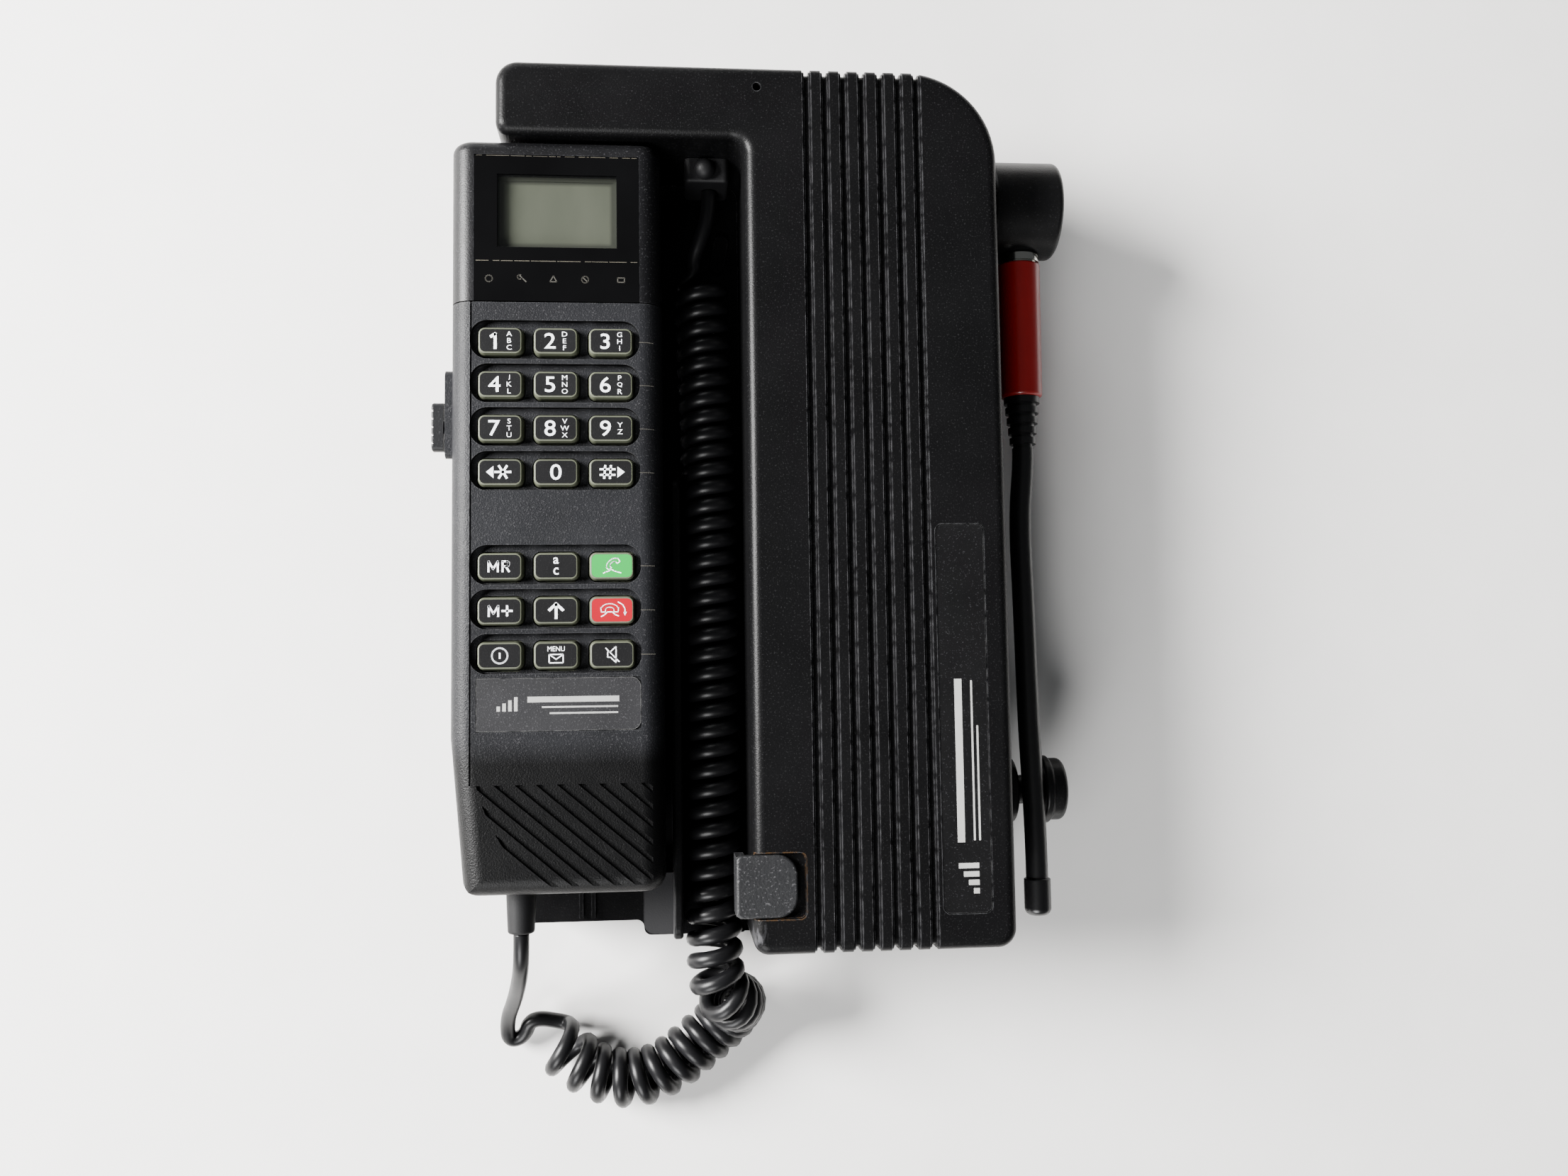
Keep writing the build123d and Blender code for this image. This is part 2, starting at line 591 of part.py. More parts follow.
with BuildPart() as handset_front_shell:
    extrude(handset_section(cover_edge - shell_gap, shell_split, face_height, shoulder_radius),
            amount=shell_length, dir=(0, -1, 0))
    round_end(handset_front_shell, -1, 5.0)
    add(lean_outside, mode=Mode.INTERSECT)
    add(front_cavity.part, mode=Mode.SUBTRACT)
    # a well round each row of keys, and a hole for each key
    box_between((-79.5, key_rows[-1] - 6.5, face_height - row_recess - row_floor_wall),
                (-31.5, key_rows[0] + 7.0, face_height - shell_wall))
    with BuildSketch(Plane.XY.offset(face_height)):
        with Locations(*[(key_columns[1] - 0.2, y + row_shift) for y in key_rows]):
            RectangleRounded(44.8, 10.5, 4.6)
    extrude(amount=-row_recess, mode=Mode.SUBTRACT)
    with BuildSketch(Plane.XY.offset(face_height)):
        with Locations(*key_places):
            RectangleRounded(key_width + 2 * key_clearance, key_height + 2 * key_clearance,
                             key_corner + key_clearance)
    extrude(amount=-5, mode=Mode.SUBTRACT)
    # recess for the label, and the fine joint line beside the left rail
    box_between((handset_label_low[0] - 0.15, handset_label_low[1] - 0.15, face_height - 0.5),
                (handset_label_high[0] + 0.15, handset_label_high[1] + 0.15, face_height + 1),
                Mode.SUBTRACT)
    box_between((-77.9, mouth_top, face_height - 0.5), (-77.4, cover_edge, face_height + 1), Mode.SUBTRACT)
    # slanted grooves on the mouth end
    with BuildSketch(Plane.XY.offset(face_height)):
        with Locations(*[Location((-76.0 + mouth_pitch * k, mouth_top), -groove_slope)
                         for k in range(-3, 9)]):
            Rectangle(140, 1.25)
        with BuildLine(mode=Mode.PRIVATE) as mouth_edge:
            Polyline((-76, mouth_top), (-30.5, mouth_top), (-30.5, mouth_bottom), (-58, mouth_bottom))
            ThreePointArc((-58, mouth_bottom), (-69.5, -89.5), (-76, mouth_top))
        make_face(mouth_edge.edges(), mode=Mode.INTERSECT)
    extrude(amount=-0.8, mode=Mode.SUBTRACT)
    # plinth and slot of the volume slider on the left side
    with BuildSketch(Plane.YZ.offset(handset_center - handset_half_width - 2.1)):
        with Locations(((plinth_low + plinth_high) / 2, shell_split + 2.6)):
            SlotOverall(plinth_high - plinth_low, 4.8)
    extrude(amount=3.0)
    box_between((handset_center - handset_half_width - 3, slider_slot[0], shell_split + 1.2),
                (handset_center - handset_half_width + 4, slider_slot[1], shell_split + 4.0), Mode.SUBTRACT)
handset_front_shell.part.label = "handset_front_shell"
export_step(handset_front_shell.part, "parts/handset_front_shell.step")

with BuildPart() as handset_label:
    box_between((*handset_label_low, face_height - 0.5), (*handset_label_high, face_height - 0.1))
    fillet(handset_label.edges().filter_by(Axis.Z).sort_by(Axis.X)[-2:], radius=2.5)
handset_label.part.label = "handset_label"
export_step(handset_label.part, "parts/handset_label.step")

boot_x, boot_z = -66.2, 40.0
handset_screw_places = [(handset_center, 40.0), (handset_center, -40.0)]
earpiece_y, mouthpiece_y = 77.0, -81.5


def rear_form(inset, rise, lean):
    """Outer or inner form of the rear shell: the grip with a bulge at each end."""
    with BuildPart() as form:
        with BuildSketch(Plane.XY.offset(shell_split)):
            with Locations((handset_center, (handset_top + handset_bottom) / 2)):
                RectangleRounded(2 * (handset_half_width - inset),
                                 handset_top - handset_bottom - 2 * inset, 5.5 - inset)
        extrude(amount=-(shell_split - grip_back - rise), taper=14)
        for bulge_y, bulge_length in ((earpiece_y, 39.0), (mouthpiece_y, 40.0)):
            with BuildSketch(Plane.XY.offset(grip_back + 3 + rise)):
                with Locations((handset_center, bulge_y)):
                    RectangleRounded(2 * (22.6 - inset), bulge_length - 2 * inset, 9 - inset)
            extrude(amount=-(grip_back + 3 - bulge_back), taper=10)
        add(lean, mode=Mode.INTERSECT)
    return form.part


rear_outside = rear_form(0.0, 0.0, lean_outside)
rear_inside = rear_form(shell_wall, shell_wall, lean_inside)

with BuildPart() as handset_rear_shell:
    add(rear_outside)
    add(rear_inside, mode=Mode.SUBTRACT)
    fillet(handset_rear_shell.faces().sort_by(Axis.Z)[0:2].edges(), radius=1.6)
    # earpiece and mouthpiece sound holes
    with BuildSketch(Plane.XY.offset(bulge_back - 1)):
        with Locations((handset_center, earpiece_y)):
            with PolarLocations(5.5, 6):
                Circle(1.0)
            Circle(1.0)
        with Locations((handset_center, mouthpiece_y)):
            with GridLocations(3.2, 1, 3, 1):
                SlotOverall(6.5, 1.3, rotation=90)
    extrude(amount=5, mode=Mode.SUBTRACT)
    # screw bosses and countersinks in the grip, and the hole for the cord boot
    with BuildSketch(Plane.XY.offset(grip_back + 1)):
        with Locations(*handset_screw_places):
            Circle(4.0)
    extrude(amount=shell_split - grip_back - 1.5)
    with BuildSketch(Plane.XY.offset(grip_back)):
        with Locations(*handset_screw_places):
            Circle(2.7)
    extrude(amount=2.2, mode=Mode.SUBTRACT)
    with BuildSketch(Plane.XY.offset(grip_back)):
        with Locations(*handset_screw_places):
            Circle(1.6)
    extrude(amount=shell_split - grip_back, mode=Mode.SUBTRACT)
    rod_y(boot_x, boot_z, 3.2, handset_bottom - 1, handset_bottom + 8, mode=Mode.SUBTRACT)
handset_rear_shell.part.label = "handset_rear_shell"
export_step(handset_rear_shell.part, "parts/handset_rear_shell.step")

with BuildPart() as handset_screws:
    with BuildSketch(Plane.XY.offset(grip_back + 0.2)):
        with Locations(*handset_screw_places):
            Circle(2.5)
    extrude(amount=2.0)
    with BuildSketch(Plane.XY.offset(grip_back + 2.2)):
        with Locations(*handset_screw_places):
            Circle(1.5)
    extrude(amount=9.5)
    with BuildSketch(Plane.XY.offset(grip_back + 0.2)):
        with Locations(*handset_screw_places):
            Rectangle(3.6, 0.7)
            Rectangle(0.7, 3.6)
    extrude(amount=1.2, mode=Mode.SUBTRACT)
handset_screws.part.label = "handset_screws"
export_step(handset_screws.part, "parts/handset_screws.step")

# the end wall of the rear shell leans, so the boot's plug reaches through it
boot_end = -115.0
with BuildPart() as cord_boot:
    with BuildSketch(Plane.XY.offset(boot_z)):
        with BuildLine():
            FilletPolyline((boot_x, -99.5), (boot_x + 3.2, -99.5), (boot_x + 3.2, handset_bottom - 0.1),
                           (boot_x + 4.1, handset_bottom - 0.1), (boot_x + 3.6, boot_end),
                           (boot_x, boot_end), radius=[0, 0.5, 0, 0.5, 0.8, 0], close=True)
        make_face()
    revolve(axis=Axis((boot_x, 0, boot_z), (0, 1, 0)))
cord_boot.part.label = "cord_boot"
export_step(cord_boot.part, "parts/cord_boot.step")

# ---- Inside the handset -----------------------------------------------------------------------------

board_bottom = 48.0
mat_bottom = board_bottom + 1.6
mat_top = 51.0

with BuildPart() as handset_board:
    box_between((-77.5, -90, board_bottom), (-33.0, 92, mat_bottom))
handset_board.part.label = "handset_board"
export_step(handset_board.part, "parts/handset_board.step")

with BuildPart() as keypad_mat:
    box_between((-77.0, -47.5, mat_bottom), (-33.5, 50.0, mat_top))
    with BuildSketch(Plane.XY.offset(mat_bottom)):
        with Locations(*key_places):
            Circle(2.2)
    extrude(amount=0.6, mode=Mode.SUBTRACT)
keypad_mat.part.label = "keypad_mat"
export_step(keypad_mat.part, "parts/keypad_mat.step")

with BuildPart() as lcd_module:
    box_between((-72.5, 66.8, mat_bottom), (-37.5, 90.6, face_height - shell_wall - 0.2))
    box_between((-69.9, 69.7, face_height - shell_wall - 1), (-40.0, 87.7, face_height - shell_wall - 0.2),
                Mode.SUBTRACT)
    box_between((-69.9, 69.7, face_height - shell_wall - 1), (-40.0, 87.7, face_height - shell_wall - 0.5))
lcd_module.part.label = "lcd_module"
export_step(lcd_module.part, "parts/lcd_module.step")

with BuildPart() as earpiece_speaker:
    with Locations((handset_center, earpiece_y, 33.4)):
        Cylinder(14.5, 9.0)
    with Locations((handset_center, earpiece_y, 39.4)):
        Cylinder(8.0, 3.0)
earpiece_speaker.part.label = "earpiece_speaker"
export_step(earpiece_speaker.part, "parts/earpiece_speaker.step")

with BuildPart() as microphone:
    with Locations((handset_center, mouthpiece_y, 31.9)):
        Cylinder(4.9, 6.0)
microphone.part.label = "microphone"
export_step(microphone.part, "parts/microphone.step")

# ---- Keys: a cap through the shell and a flange behind it, one solid each ---------------------------

flange_top = face_height - row_recess - row_floor_wall - 0.3
flange_thickness = 0.8
stem_top = face_height - row_recess + 0.2

for (column, row), key_name in KEY_NAMES.items():
    node_name = f"key_{key_name}"
    key_place = (key_columns[column], key_rows[row])
    with BuildPart() as key:
        with BuildSketch(Plane.XY.offset(flange_top)):
            with Locations(key_place):
                RectangleRounded(key_width, key_height, key_corner)
        extrude(amount=stem_top - flange_top)
        with BuildSketch(Plane.XY.offset(stem_top)):
            with Locations(key_place):
                RectangleRounded(key_width, key_height, key_corner)
        extrude(amount=key_top - stem_top, taper=key_taper)
        fillet(key.faces().sort_by(Axis.Z)[-1].edges(), radius=0.35)
        with BuildSketch(Plane.XY.offset(flange_top - flange_thickness)):
            with Locations(key_place):
                RectangleRounded(key_width + 1.7, key_height + 1.7, key_corner + 0.8)
        extrude(amount=flange_thickness)
    key.part.label = node_name
    export_step(key.part, f"parts/{node_name}.step")

# ---- Volume slider: ridged tab outside, stem through the slot, keeper inside -------------------------

side_x = handset_center - handset_half_width
slider_z = shell_split + 2.6

with BuildPart() as volume_slider:
    box_between((-outer_reach, slider_y - 6.6, slider_z - 2.0),
                (side_x - 2.5, slider_y + 6.6, slider_z + 2.0))
    fillet(volume_slider.edges().filter_by(Axis.X), radius=1.6)
    fillet(volume_slider.faces().sort_by(Axis.X)[0].edges(), radius=0.6)
    for ridge in range(-2, 3):
        box_between((-outer_reach - 0.1, slider_y + 2.2 * ridge - 0.35, slider_z - 2.5),
                    (-outer_reach + 0.6, slider_y + 2.2 * ridge + 0.35, slider_z + 2.5), Mode.SUBTRACT)
    box_between((side_x - 2.6, slider_y - 1.5, slider_z - 1.0),
                (side_x + 3.8, slider_y + 1.5, slider_z + 1.0))
    box_between((side_x + 2.7, slider_y - 2.5, slider_z - 1.9),
                (side_x + 3.8, slider_y + 2.5, slider_z + 1.9))
volume_slider.part.label = "volume_slider"
export_step(volume_slider.part, "parts/volume_slider.step")

# ---- Cord: plug, straight tail, curly part and the lead into the handset's boot ----------------------

plug_end = 92.4

with BuildPart() as cord_plug:
    box_between((jack_x - 6.2, plug_end, 30.0), (jack_x + 6.2, bar_bottom - 0.1, 45.0))
    fillet(cord_plug.edges().filter_by(Axis.Y), radius=1.6)
    fillet(cord_plug.faces().sort_by(Axis.Y)[0].edges(), radius=1.0)
    box_between((jack_x - 4.2, bar_bottom - 0.2, 32.0), (jack_x + 4.2, bar_bottom + 5, 42.0))
    with Locations((jack_x - 0.6, 96.0, 45.0)):
        Sphere(3.0)
cord_plug.part.label = "cord_plug"
export_step(cord_plug.part, "parts/cord_plug.step")

# Hand-chosen points of the cord's middle line.
tail_route = [(-13.4, plug_end, 37.5), (-13.4, 83.9, 37.5), (-17.5, 74.5, 34.0), (-17.5, 65.0, 34.0)]
coil_route = [(-15.2, 65.0, 32.3), (-15.2, 42.0, 32.3), (-13.7, 8.0, 32.2), (-13.5, -40.0, 32.3),
              (-13.8, -88.0, 32.4), (-13.3, -128.0, 33.2), (-4.8, -146.0, 21.5), (-11.0, -157.5, 8.8),
              (-26.5, -163.5, 8.2), (-43.5, -163.0, 8.2), (-57.0, -152.5, 9.2)]
lead_route = [(-57.0, -152.5, 9.2), (-63.75, -147.25, 9.7), (-70.0, -142.0, 14.5), (-70.8, -136.5, 24.5),
              (-67.8, -129.5, 34.5), (boot_x, -122.0, boot_z), (boot_x, boot_end, boot_z)]


def corner_radii(points):
    """Largest arc that each corner's two runs allow."""
    vectors = [Vector(*end) - Vector(*start) for start, end in zip(points, points[1:])]
    radii = []
    for before, after in zip(vectors, vectors[1:]):
        half_turn = radians(before.get_angle(after)) / 2
        radii.append(0.45 * min(before.length, after.length) / tan(half_turn))
    return radii


def cord_tube(points, diameter, name):
    """Round tube along straight runs joined by tangent arcs."""
    radii = corner_radii(points)
    with BuildLine() as middle_line:
        FilletPolyline(*points, radius=radii)
    path = middle_line.wire()
    with BuildSketch(Plane(path @ 0, z_dir=path % 0)) as section:
        Circle(diameter / 2)
    sweep(section.sketch, path=path)
    print(name, "length", round(path.length, 1), "radii", [round(r, 1) for r in radii],
          "ideal volume", round(path.length * pi * diameter**2 / 4))


with BuildPart() as cord_lead_top:
    cord_tube(tail_route, wire_diameter, "cord_lead_top")
cord_lead_top.part.label = "cord_lead_top"
export_step(cord_lead_top.part, "parts/cord_lead_top.step")

with BuildPart() as cord_coil:
    cord_tube(coil_route, coil_diameter, "cord_coil")
cord_coil.part.label = "cord_coil"
export_step(cord_coil.part, "parts/cord_coil.step")

with BuildPart() as cord_lead_handset:
    cord_tube(lead_route, wire_diameter, "cord_lead_handset")
cord_lead_handset.part.label = "cord_lead_handset"
export_step(cord_lead_handset.part, "parts/cord_lead_handset.step")

for name, cord in (("cord_lead_top", cord_lead_top), ("cord_coil", cord_coil),
                   ("cord_lead_handset", cord_lead_handset)):
    print(name, "volume", round(cord.part.volume))
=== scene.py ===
import json
import math
import random

import bmesh
import bpy
from mathutils import Matrix, Vector
from mathutils.bvhtree import BVHTree


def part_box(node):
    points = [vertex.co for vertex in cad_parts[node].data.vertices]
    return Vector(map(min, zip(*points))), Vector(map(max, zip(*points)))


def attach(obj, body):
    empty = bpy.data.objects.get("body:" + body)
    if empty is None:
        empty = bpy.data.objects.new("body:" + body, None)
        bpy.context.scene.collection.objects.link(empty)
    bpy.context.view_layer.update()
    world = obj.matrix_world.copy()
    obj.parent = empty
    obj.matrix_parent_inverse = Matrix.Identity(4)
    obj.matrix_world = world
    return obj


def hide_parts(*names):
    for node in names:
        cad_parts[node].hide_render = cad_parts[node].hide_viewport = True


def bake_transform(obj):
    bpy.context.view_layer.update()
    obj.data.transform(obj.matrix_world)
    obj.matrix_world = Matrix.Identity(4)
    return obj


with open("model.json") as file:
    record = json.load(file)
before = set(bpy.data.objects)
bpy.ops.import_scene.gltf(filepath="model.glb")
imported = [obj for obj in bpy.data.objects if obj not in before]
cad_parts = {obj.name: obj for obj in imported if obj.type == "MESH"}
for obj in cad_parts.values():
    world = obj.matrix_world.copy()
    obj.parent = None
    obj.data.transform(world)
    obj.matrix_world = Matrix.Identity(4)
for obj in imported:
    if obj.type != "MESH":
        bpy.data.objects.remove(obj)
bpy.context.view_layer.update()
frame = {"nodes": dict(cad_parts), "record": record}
nodes = frame["nodes"]
MM = 0.001

# ---- Camera and light ------------------------------------------------------------------

eye = Vector((-0.0275, -0.0495, 0.405))
target = Vector((0.00732, -0.02136, 0.030))
roll = math.radians(-0.835)
back = (eye - target).normalized()
right = Vector((0, 1, 0)).cross(back).normalized()
up = back.cross(right)
camera = bpy.data.objects.new("camera", bpy.data.cameras.new("camera"))
bpy.context.scene.collection.objects.link(camera)
camera.matrix_world = (Matrix.Translation(eye) @ Matrix((right, up, back)).transposed().to_4x4()
                       @ Matrix.Rotation(roll, 4, "Z"))
camera.data.sensor_width = 36
camera.data.lens = 30.1
camera.data.clip_start, camera.data.clip_end = 0.01, 20
bpy.context.scene.camera = camera


def area_light(name, spot, size, power, color):
    """Round soft lamp that looks at the origin."""
    data = bpy.data.lights.new(name, "AREA")
    data.shape, data.size, data.energy, data.color = "DISK", size, power, color
    lamp = bpy.data.objects.new(name, data)
    bpy.context.scene.collection.objects.link(lamp)
    lamp.location = spot
    lamp.rotation_mode = "QUATERNION"
    lamp.rotation_quaternion = (-Vector(spot)).to_track_quat("-Z", "Y")


area_light("window_left", (-1.15, 0.25, 0.72), 0.7, 142.0, (1.0, 0.99, 0.98))
area_light("window_top", (-0.5, 1.30, 0.55), 0.8, 8.0, (0.98, 0.99, 1.0))
area_light("window_foot", (-0.5, -1.15, 0.85), 0.8, 32.0, (1.0, 1.0, 1.0))
world = bpy.data.worlds.new("studio")
world.use_nodes = True
world.node_tree.nodes["Background"].inputs["Color"].default_value = (0.94, 0.97, 1.0, 1)
world.node_tree.nodes["Background"].inputs["Strength"].default_value = 0.12
bpy.context.scene.world = world

# ---- Materials -------------------------------------------------------------------------


def wire(tree, source, socket):
    """Joins an output, or sets a plain value, on an input socket."""
    if isinstance(source, bpy.types.NodeSocket):
        tree.links.new(source, socket)
    else:
        socket.default_value = source


def calc(tree, operation, first, second, clamp=False):
    n = tree.nodes.new("ShaderNodeMath")
    n.operation, n.use_clamp = operation, clamp
    wire(tree, first, n.inputs[0])
    wire(tree, second, n.inputs[1])
    return n.outputs[0]


def ramp(tree, value, low, high):
    """0 below low, 1 above high; with low above high it falls instead."""
    n = tree.nodes.new("ShaderNodeMapRange")
    wire(tree, value, n.inputs["Value"])
    n.inputs["From Min"].default_value = low
    n.inputs["From Max"].default_value = high
    return n.outputs["Result"]


def mix(tree, share, first, second):
    n = tree.nodes.new("ShaderNodeMix")
    n.data_type = "RGBA"
    wire(tree, share, n.inputs[0])
    wire(tree, first if isinstance(first, bpy.types.NodeSocket) else (*first, 1), n.inputs[6])
    wire(tree, second if isinstance(second, bpy.types.NodeSocket) else (*second, 1), n.inputs[7])
    return n.outputs[2]


def noise(tree, size_mm, detail=3.0, stretch=(1, 1, 1)):
    coords = tree.nodes.new("ShaderNodeTexCoord").outputs["Object"]
    scaled = tree.nodes.new("ShaderNodeMapping")
    tree.links.new(coords, scaled.inputs["Vector"])
    scaled.inputs["Scale"].default_value = stretch
    n = tree.nodes.new("ShaderNodeTexNoise")
    tree.links.new(scaled.outputs[0], n.inputs["Vector"])
    n.inputs["Scale"].default_value = 1000 / size_mm
    n.inputs["Detail"].default_value = detail
    return n.outputs["Fac"]


def place(tree):
    """X, Y and Z of the point in millimetres, in the part's frame."""
    coords = tree.nodes.new("ShaderNodeTexCoord").outputs["Object"]
    scaled = tree.nodes.new("ShaderNodeVectorMath")
    scaled.operation = "SCALE"
    tree.links.new(coords, scaled.inputs[0])
    scaled.inputs["Scale"].default_value = 1000
    parts = tree.nodes.new("ShaderNodeSeparateXYZ")
    tree.links.new(scaled.outputs[0], parts.inputs[0])
    return parts.outputs


def inside(tree, low, high, soft=0.1):
    """1 inside the box given by two corners in millimetres, 0 outside; None leaves a side open."""
    mask = 1.0
    for value, start, end in zip(place(tree), low, high):
        if start is not None:
            mask = calc(tree, "MULTIPLY", mask, ramp(tree, value, start - soft, start + soft))
        if end is not None:
            mask = calc(tree, "MULTIPLY", mask, ramp(tree, value, end + soft, end - soft))
    return mask


def normal_z(tree):
    """Upward share of the surface's direction."""
    parts = tree.nodes.new("ShaderNodeSeparateXYZ")
    tree.links.new(tree.nodes.new("ShaderNodeNewGeometry").outputs["Normal"], parts.inputs[0])
    return parts.outputs[2]


def edges(tree, radius_mm):
    """Near 1 on sharp edges, 0 on plain faces."""
    soft = tree.nodes.new("ShaderNodeBevel")
    soft.samples = 4
    soft.inputs["Radius"].default_value = radius_mm * MM
    dot = tree.nodes.new("ShaderNodeVectorMath")
    dot.operation = "DOT_PRODUCT"
    tree.links.new(soft.outputs[0], dot.inputs[0])
    tree.links.new(tree.nodes.new("ShaderNodeNewGeometry").outputs["Normal"], dot.inputs[1])
    return ramp(tree, dot.outputs["Value"], 0.995, 0.93)


def finish(name, color, rough, metal=0.0, grain=0.0, grain_mm=0.5, mottle=0.2, speck_and_glint=None,
           speck_and_glint_mm=0.5, speck_and_glint_at=0.62, coat=0.0, specular=0.5, edge_wear_and_highlight=None, edge_wear_and_highlight_mm=0.35,
           edge_wear_and_highlight_share=0.5, extra=None):
    """A procedural surface: colour that varies a little, a grain, pale specks that are partly painted
    glints, and pale edges that are partly rubbed wear and partly painted highlight.

    extra(tree, made) may lay more colours over the colour made so far.
    """
    m = bpy.data.materials.new(name)
    m.use_nodes = True
    tree = m.node_tree
    shader = tree.nodes["Principled BSDF"]
    shade = ramp(tree, noise(tree, 22.0), 0.3, 0.7)
    made = mix(tree, shade, [c * (1 - mottle) for c in color], [c * (1 + mottle) for c in color])
    # pale specks: grain of the surface, and partly a painted glint of the textured plastic
    if speck_and_glint:
        made = mix(tree, ramp(tree, noise(tree, speck_and_glint_mm, 2.0), speck_and_glint_at, speck_and_glint_at + 0.1), made, speck_and_glint)
    # pale edges: partly rubbed wear, partly a painted highlight where edges catch the light
    if edge_wear_and_highlight:
        edge_mark = calc(tree, "MULTIPLY", edges(tree, edge_wear_and_highlight_mm), ramp(tree, noise(tree, 2.2), 0.35, 0.6))
        made = mix(tree, calc(tree, "MULTIPLY", edge_mark, edge_wear_and_highlight_share), made, edge_wear_and_highlight)
    if extra:
        made = extra(tree, made)
    wire(tree, made, shader.inputs["Base Color"])
    roughness = calc(tree, "ADD", rough, calc(tree, "MULTIPLY", noise(tree, 6.0), 0.12))
    wire(tree, calc(tree, "SUBTRACT", roughness, 0.06, True), shader.inputs["Roughness"])
    shader.inputs["Metallic"].default_value = metal
    shader.inputs["Specular IOR Level"].default_value = specular
    shader.inputs["Coat Weight"].default_value = coat
    shader.inputs["Coat Roughness"].default_value = 0.12
    if grain:
        bump = tree.nodes.new("ShaderNodeBump")
        bump.inputs["Strength"].default_value = grain
        bump.inputs["Distance"].default_value = 0.12 * MM
        tree.links.new(noise(tree, grain_mm, 4.0), bump.inputs["Height"])
        tree.links.new(bump.outputs[0], shader.inputs["Normal"])
    return m


def latch_rim_and_fillet_highlight(tree, made):
    """Paint rubbed down to brown round the latch's pocket, and a painted highlight on the left wall's
    fillet.
    """
    near = inside(tree, (-10.5, -111.5, 57.0), (9.6, -91.0, None), 0.5)
    patchy = ramp(tree, noise(tree, 1.3), 0.42, 0.58)
    edge_mark = calc(tree, "MULTIPLY", calc(tree, "MULTIPLY", near, edges(tree, 0.6)), patchy)
    made = mix(tree, edge_mark, made, (0.06, 0.034, 0.016))
    # painted highlight: a pale streak on the fillet of the left wall near the bottom
    fillet_highlight = calc(tree, "MULTIPLY", inside(tree, (-5.5, -117.5, 50.0), (-1.5, -111.0, 60.5), 0.8),
                 ramp(tree, noise(tree, 1.0, stretch=(1, 0.25, 1)), 0.5, 0.62))
    return mix(tree, calc(tree, "MULTIPLY", fillet_highlight, 0.5), made, (0.07, 0.07, 0.075))


def well_walls_and_mouth_shade(tree, made):
    """The steep walls round the rows of keys are painted near black; the mouth end gets painted shade."""
    steep = ramp(tree, normal_z(tree), 0.8, 0.55)
    wall = calc(tree, "MULTIPLY", steep, inside(tree, (-79, -48, 54.5), (-31, 51, 56.95), 0.02))
    made = mix(tree, wall, made, (0.003, 0.003, 0.003))
    # painted shade: the mouth end is painted much darker, for the weaker reflection there
    mouth_painted_shade = inside(tree, (None, None, None), (None, -66.0, None), 3.0)
    return mix(tree, calc(tree, "MULTIPLY", mouth_painted_shade, 0.95), made, (0.0005, 0.0005, 0.00055))


def pillar_painted_highlight(tree, made):
    """Painted highlight: the top of the cradle's pillar beside the mouth end is painted paler."""
    return mix(tree, inside(tree, (-33.4, -119.0, 31.0), (-25.0, -100.0, None), 0.4), made,
               (0.022, 0.022, 0.023))


plastic = finish("case_plastic", (0.0026, 0.0026, 0.0028), 0.36, grain=0.45, grain_mm=0.45,
                 speck_and_glint=(0.01, 0.01, 0.0105), speck_and_glint_mm=0.5, speck_and_glint_at=0.60, edge_wear_and_highlight=(0.075, 0.075, 0.079),
                 edge_wear_and_highlight_share=0.65, specular=0.10, extra=latch_rim_and_fillet_highlight)
cradle_plastic = finish("cradle_plastic", (0.0026, 0.0026, 0.0028), 0.36, grain=0.45, grain_mm=0.45,
                        speck_and_glint=(0.01, 0.01, 0.0105), edge_wear_and_highlight=(0.055, 0.055, 0.0575), edge_wear_and_highlight_share=0.6,
                        specular=0.10, extra=pillar_painted_highlight)
shell = finish("handset_plastic", (0.0085, 0.0088, 0.0100), 0.42, grain=1.0, grain_mm=0.42,
               speck_and_glint=(0.030, 0.030, 0.032), speck_and_glint_mm=0.42, speck_and_glint_at=0.60, edge_wear_and_highlight=(0.0672, 0.0672, 0.0714),
               edge_wear_and_highlight_share=0.35, specular=0.14, extra=well_walls_and_mouth_shade)
rear_shell = finish("handset_rear_plastic", (0.0065, 0.0067, 0.0074), 0.42, grain=0.4, grain_mm=0.5,
                    speck_and_glint=(0.026, 0.026, 0.029), speck_and_glint_at=0.62, specular=0.16)
cover = finish("display_cover_plastic", (0.0035, 0.0035, 0.004), 0.38, grain=0.4, grain_mm=0.45,
               speck_and_glint=(0.02, 0.02, 0.0215), speck_and_glint_at=0.60, edge_wear_and_highlight=(0.05, 0.05, 0.055),
               edge_wear_and_highlight_share=0.3, specular=0.2)
cap = finish("key_cap_cream", (0.066, 0.072, 0.048), 0.42, grain=0.1, mottle=0.15, specular=0.4)
ink_black = finish("key_ink_black", (0.0049, 0.0049, 0.00525), 0.50, grain=0.35, grain_mm=0.35,
                   speck_and_glint=(0.01225, 0.01225, 0.0126), speck_and_glint_mm=0.35, speck_and_glint_at=0.62, specular=0.1)
ink_green = finish("key_ink_green", (0.001, 0.24, 0.035), 0.45, mottle=0.06, grain=0.1, specular=0.15)
ink_red = finish("key_ink_red", (0.25, 0.0005, 0.009), 0.45, mottle=0.06, grain=0.1, specular=0.15)
ink_white = finish("legend_white", (0.90, 0.92, 0.95), 0.5, mottle=0.04)
ink_cream = finish("print_cream", (0.042, 0.037, 0.025), 0.55, mottle=0.35)
ink_faint = finish("print_faint", (0.022, 0.020, 0.015), 0.6, mottle=0.4)
ink_silver = finish("print_silver", (0.30, 0.30, 0.29), 0.45, mottle=0.2)
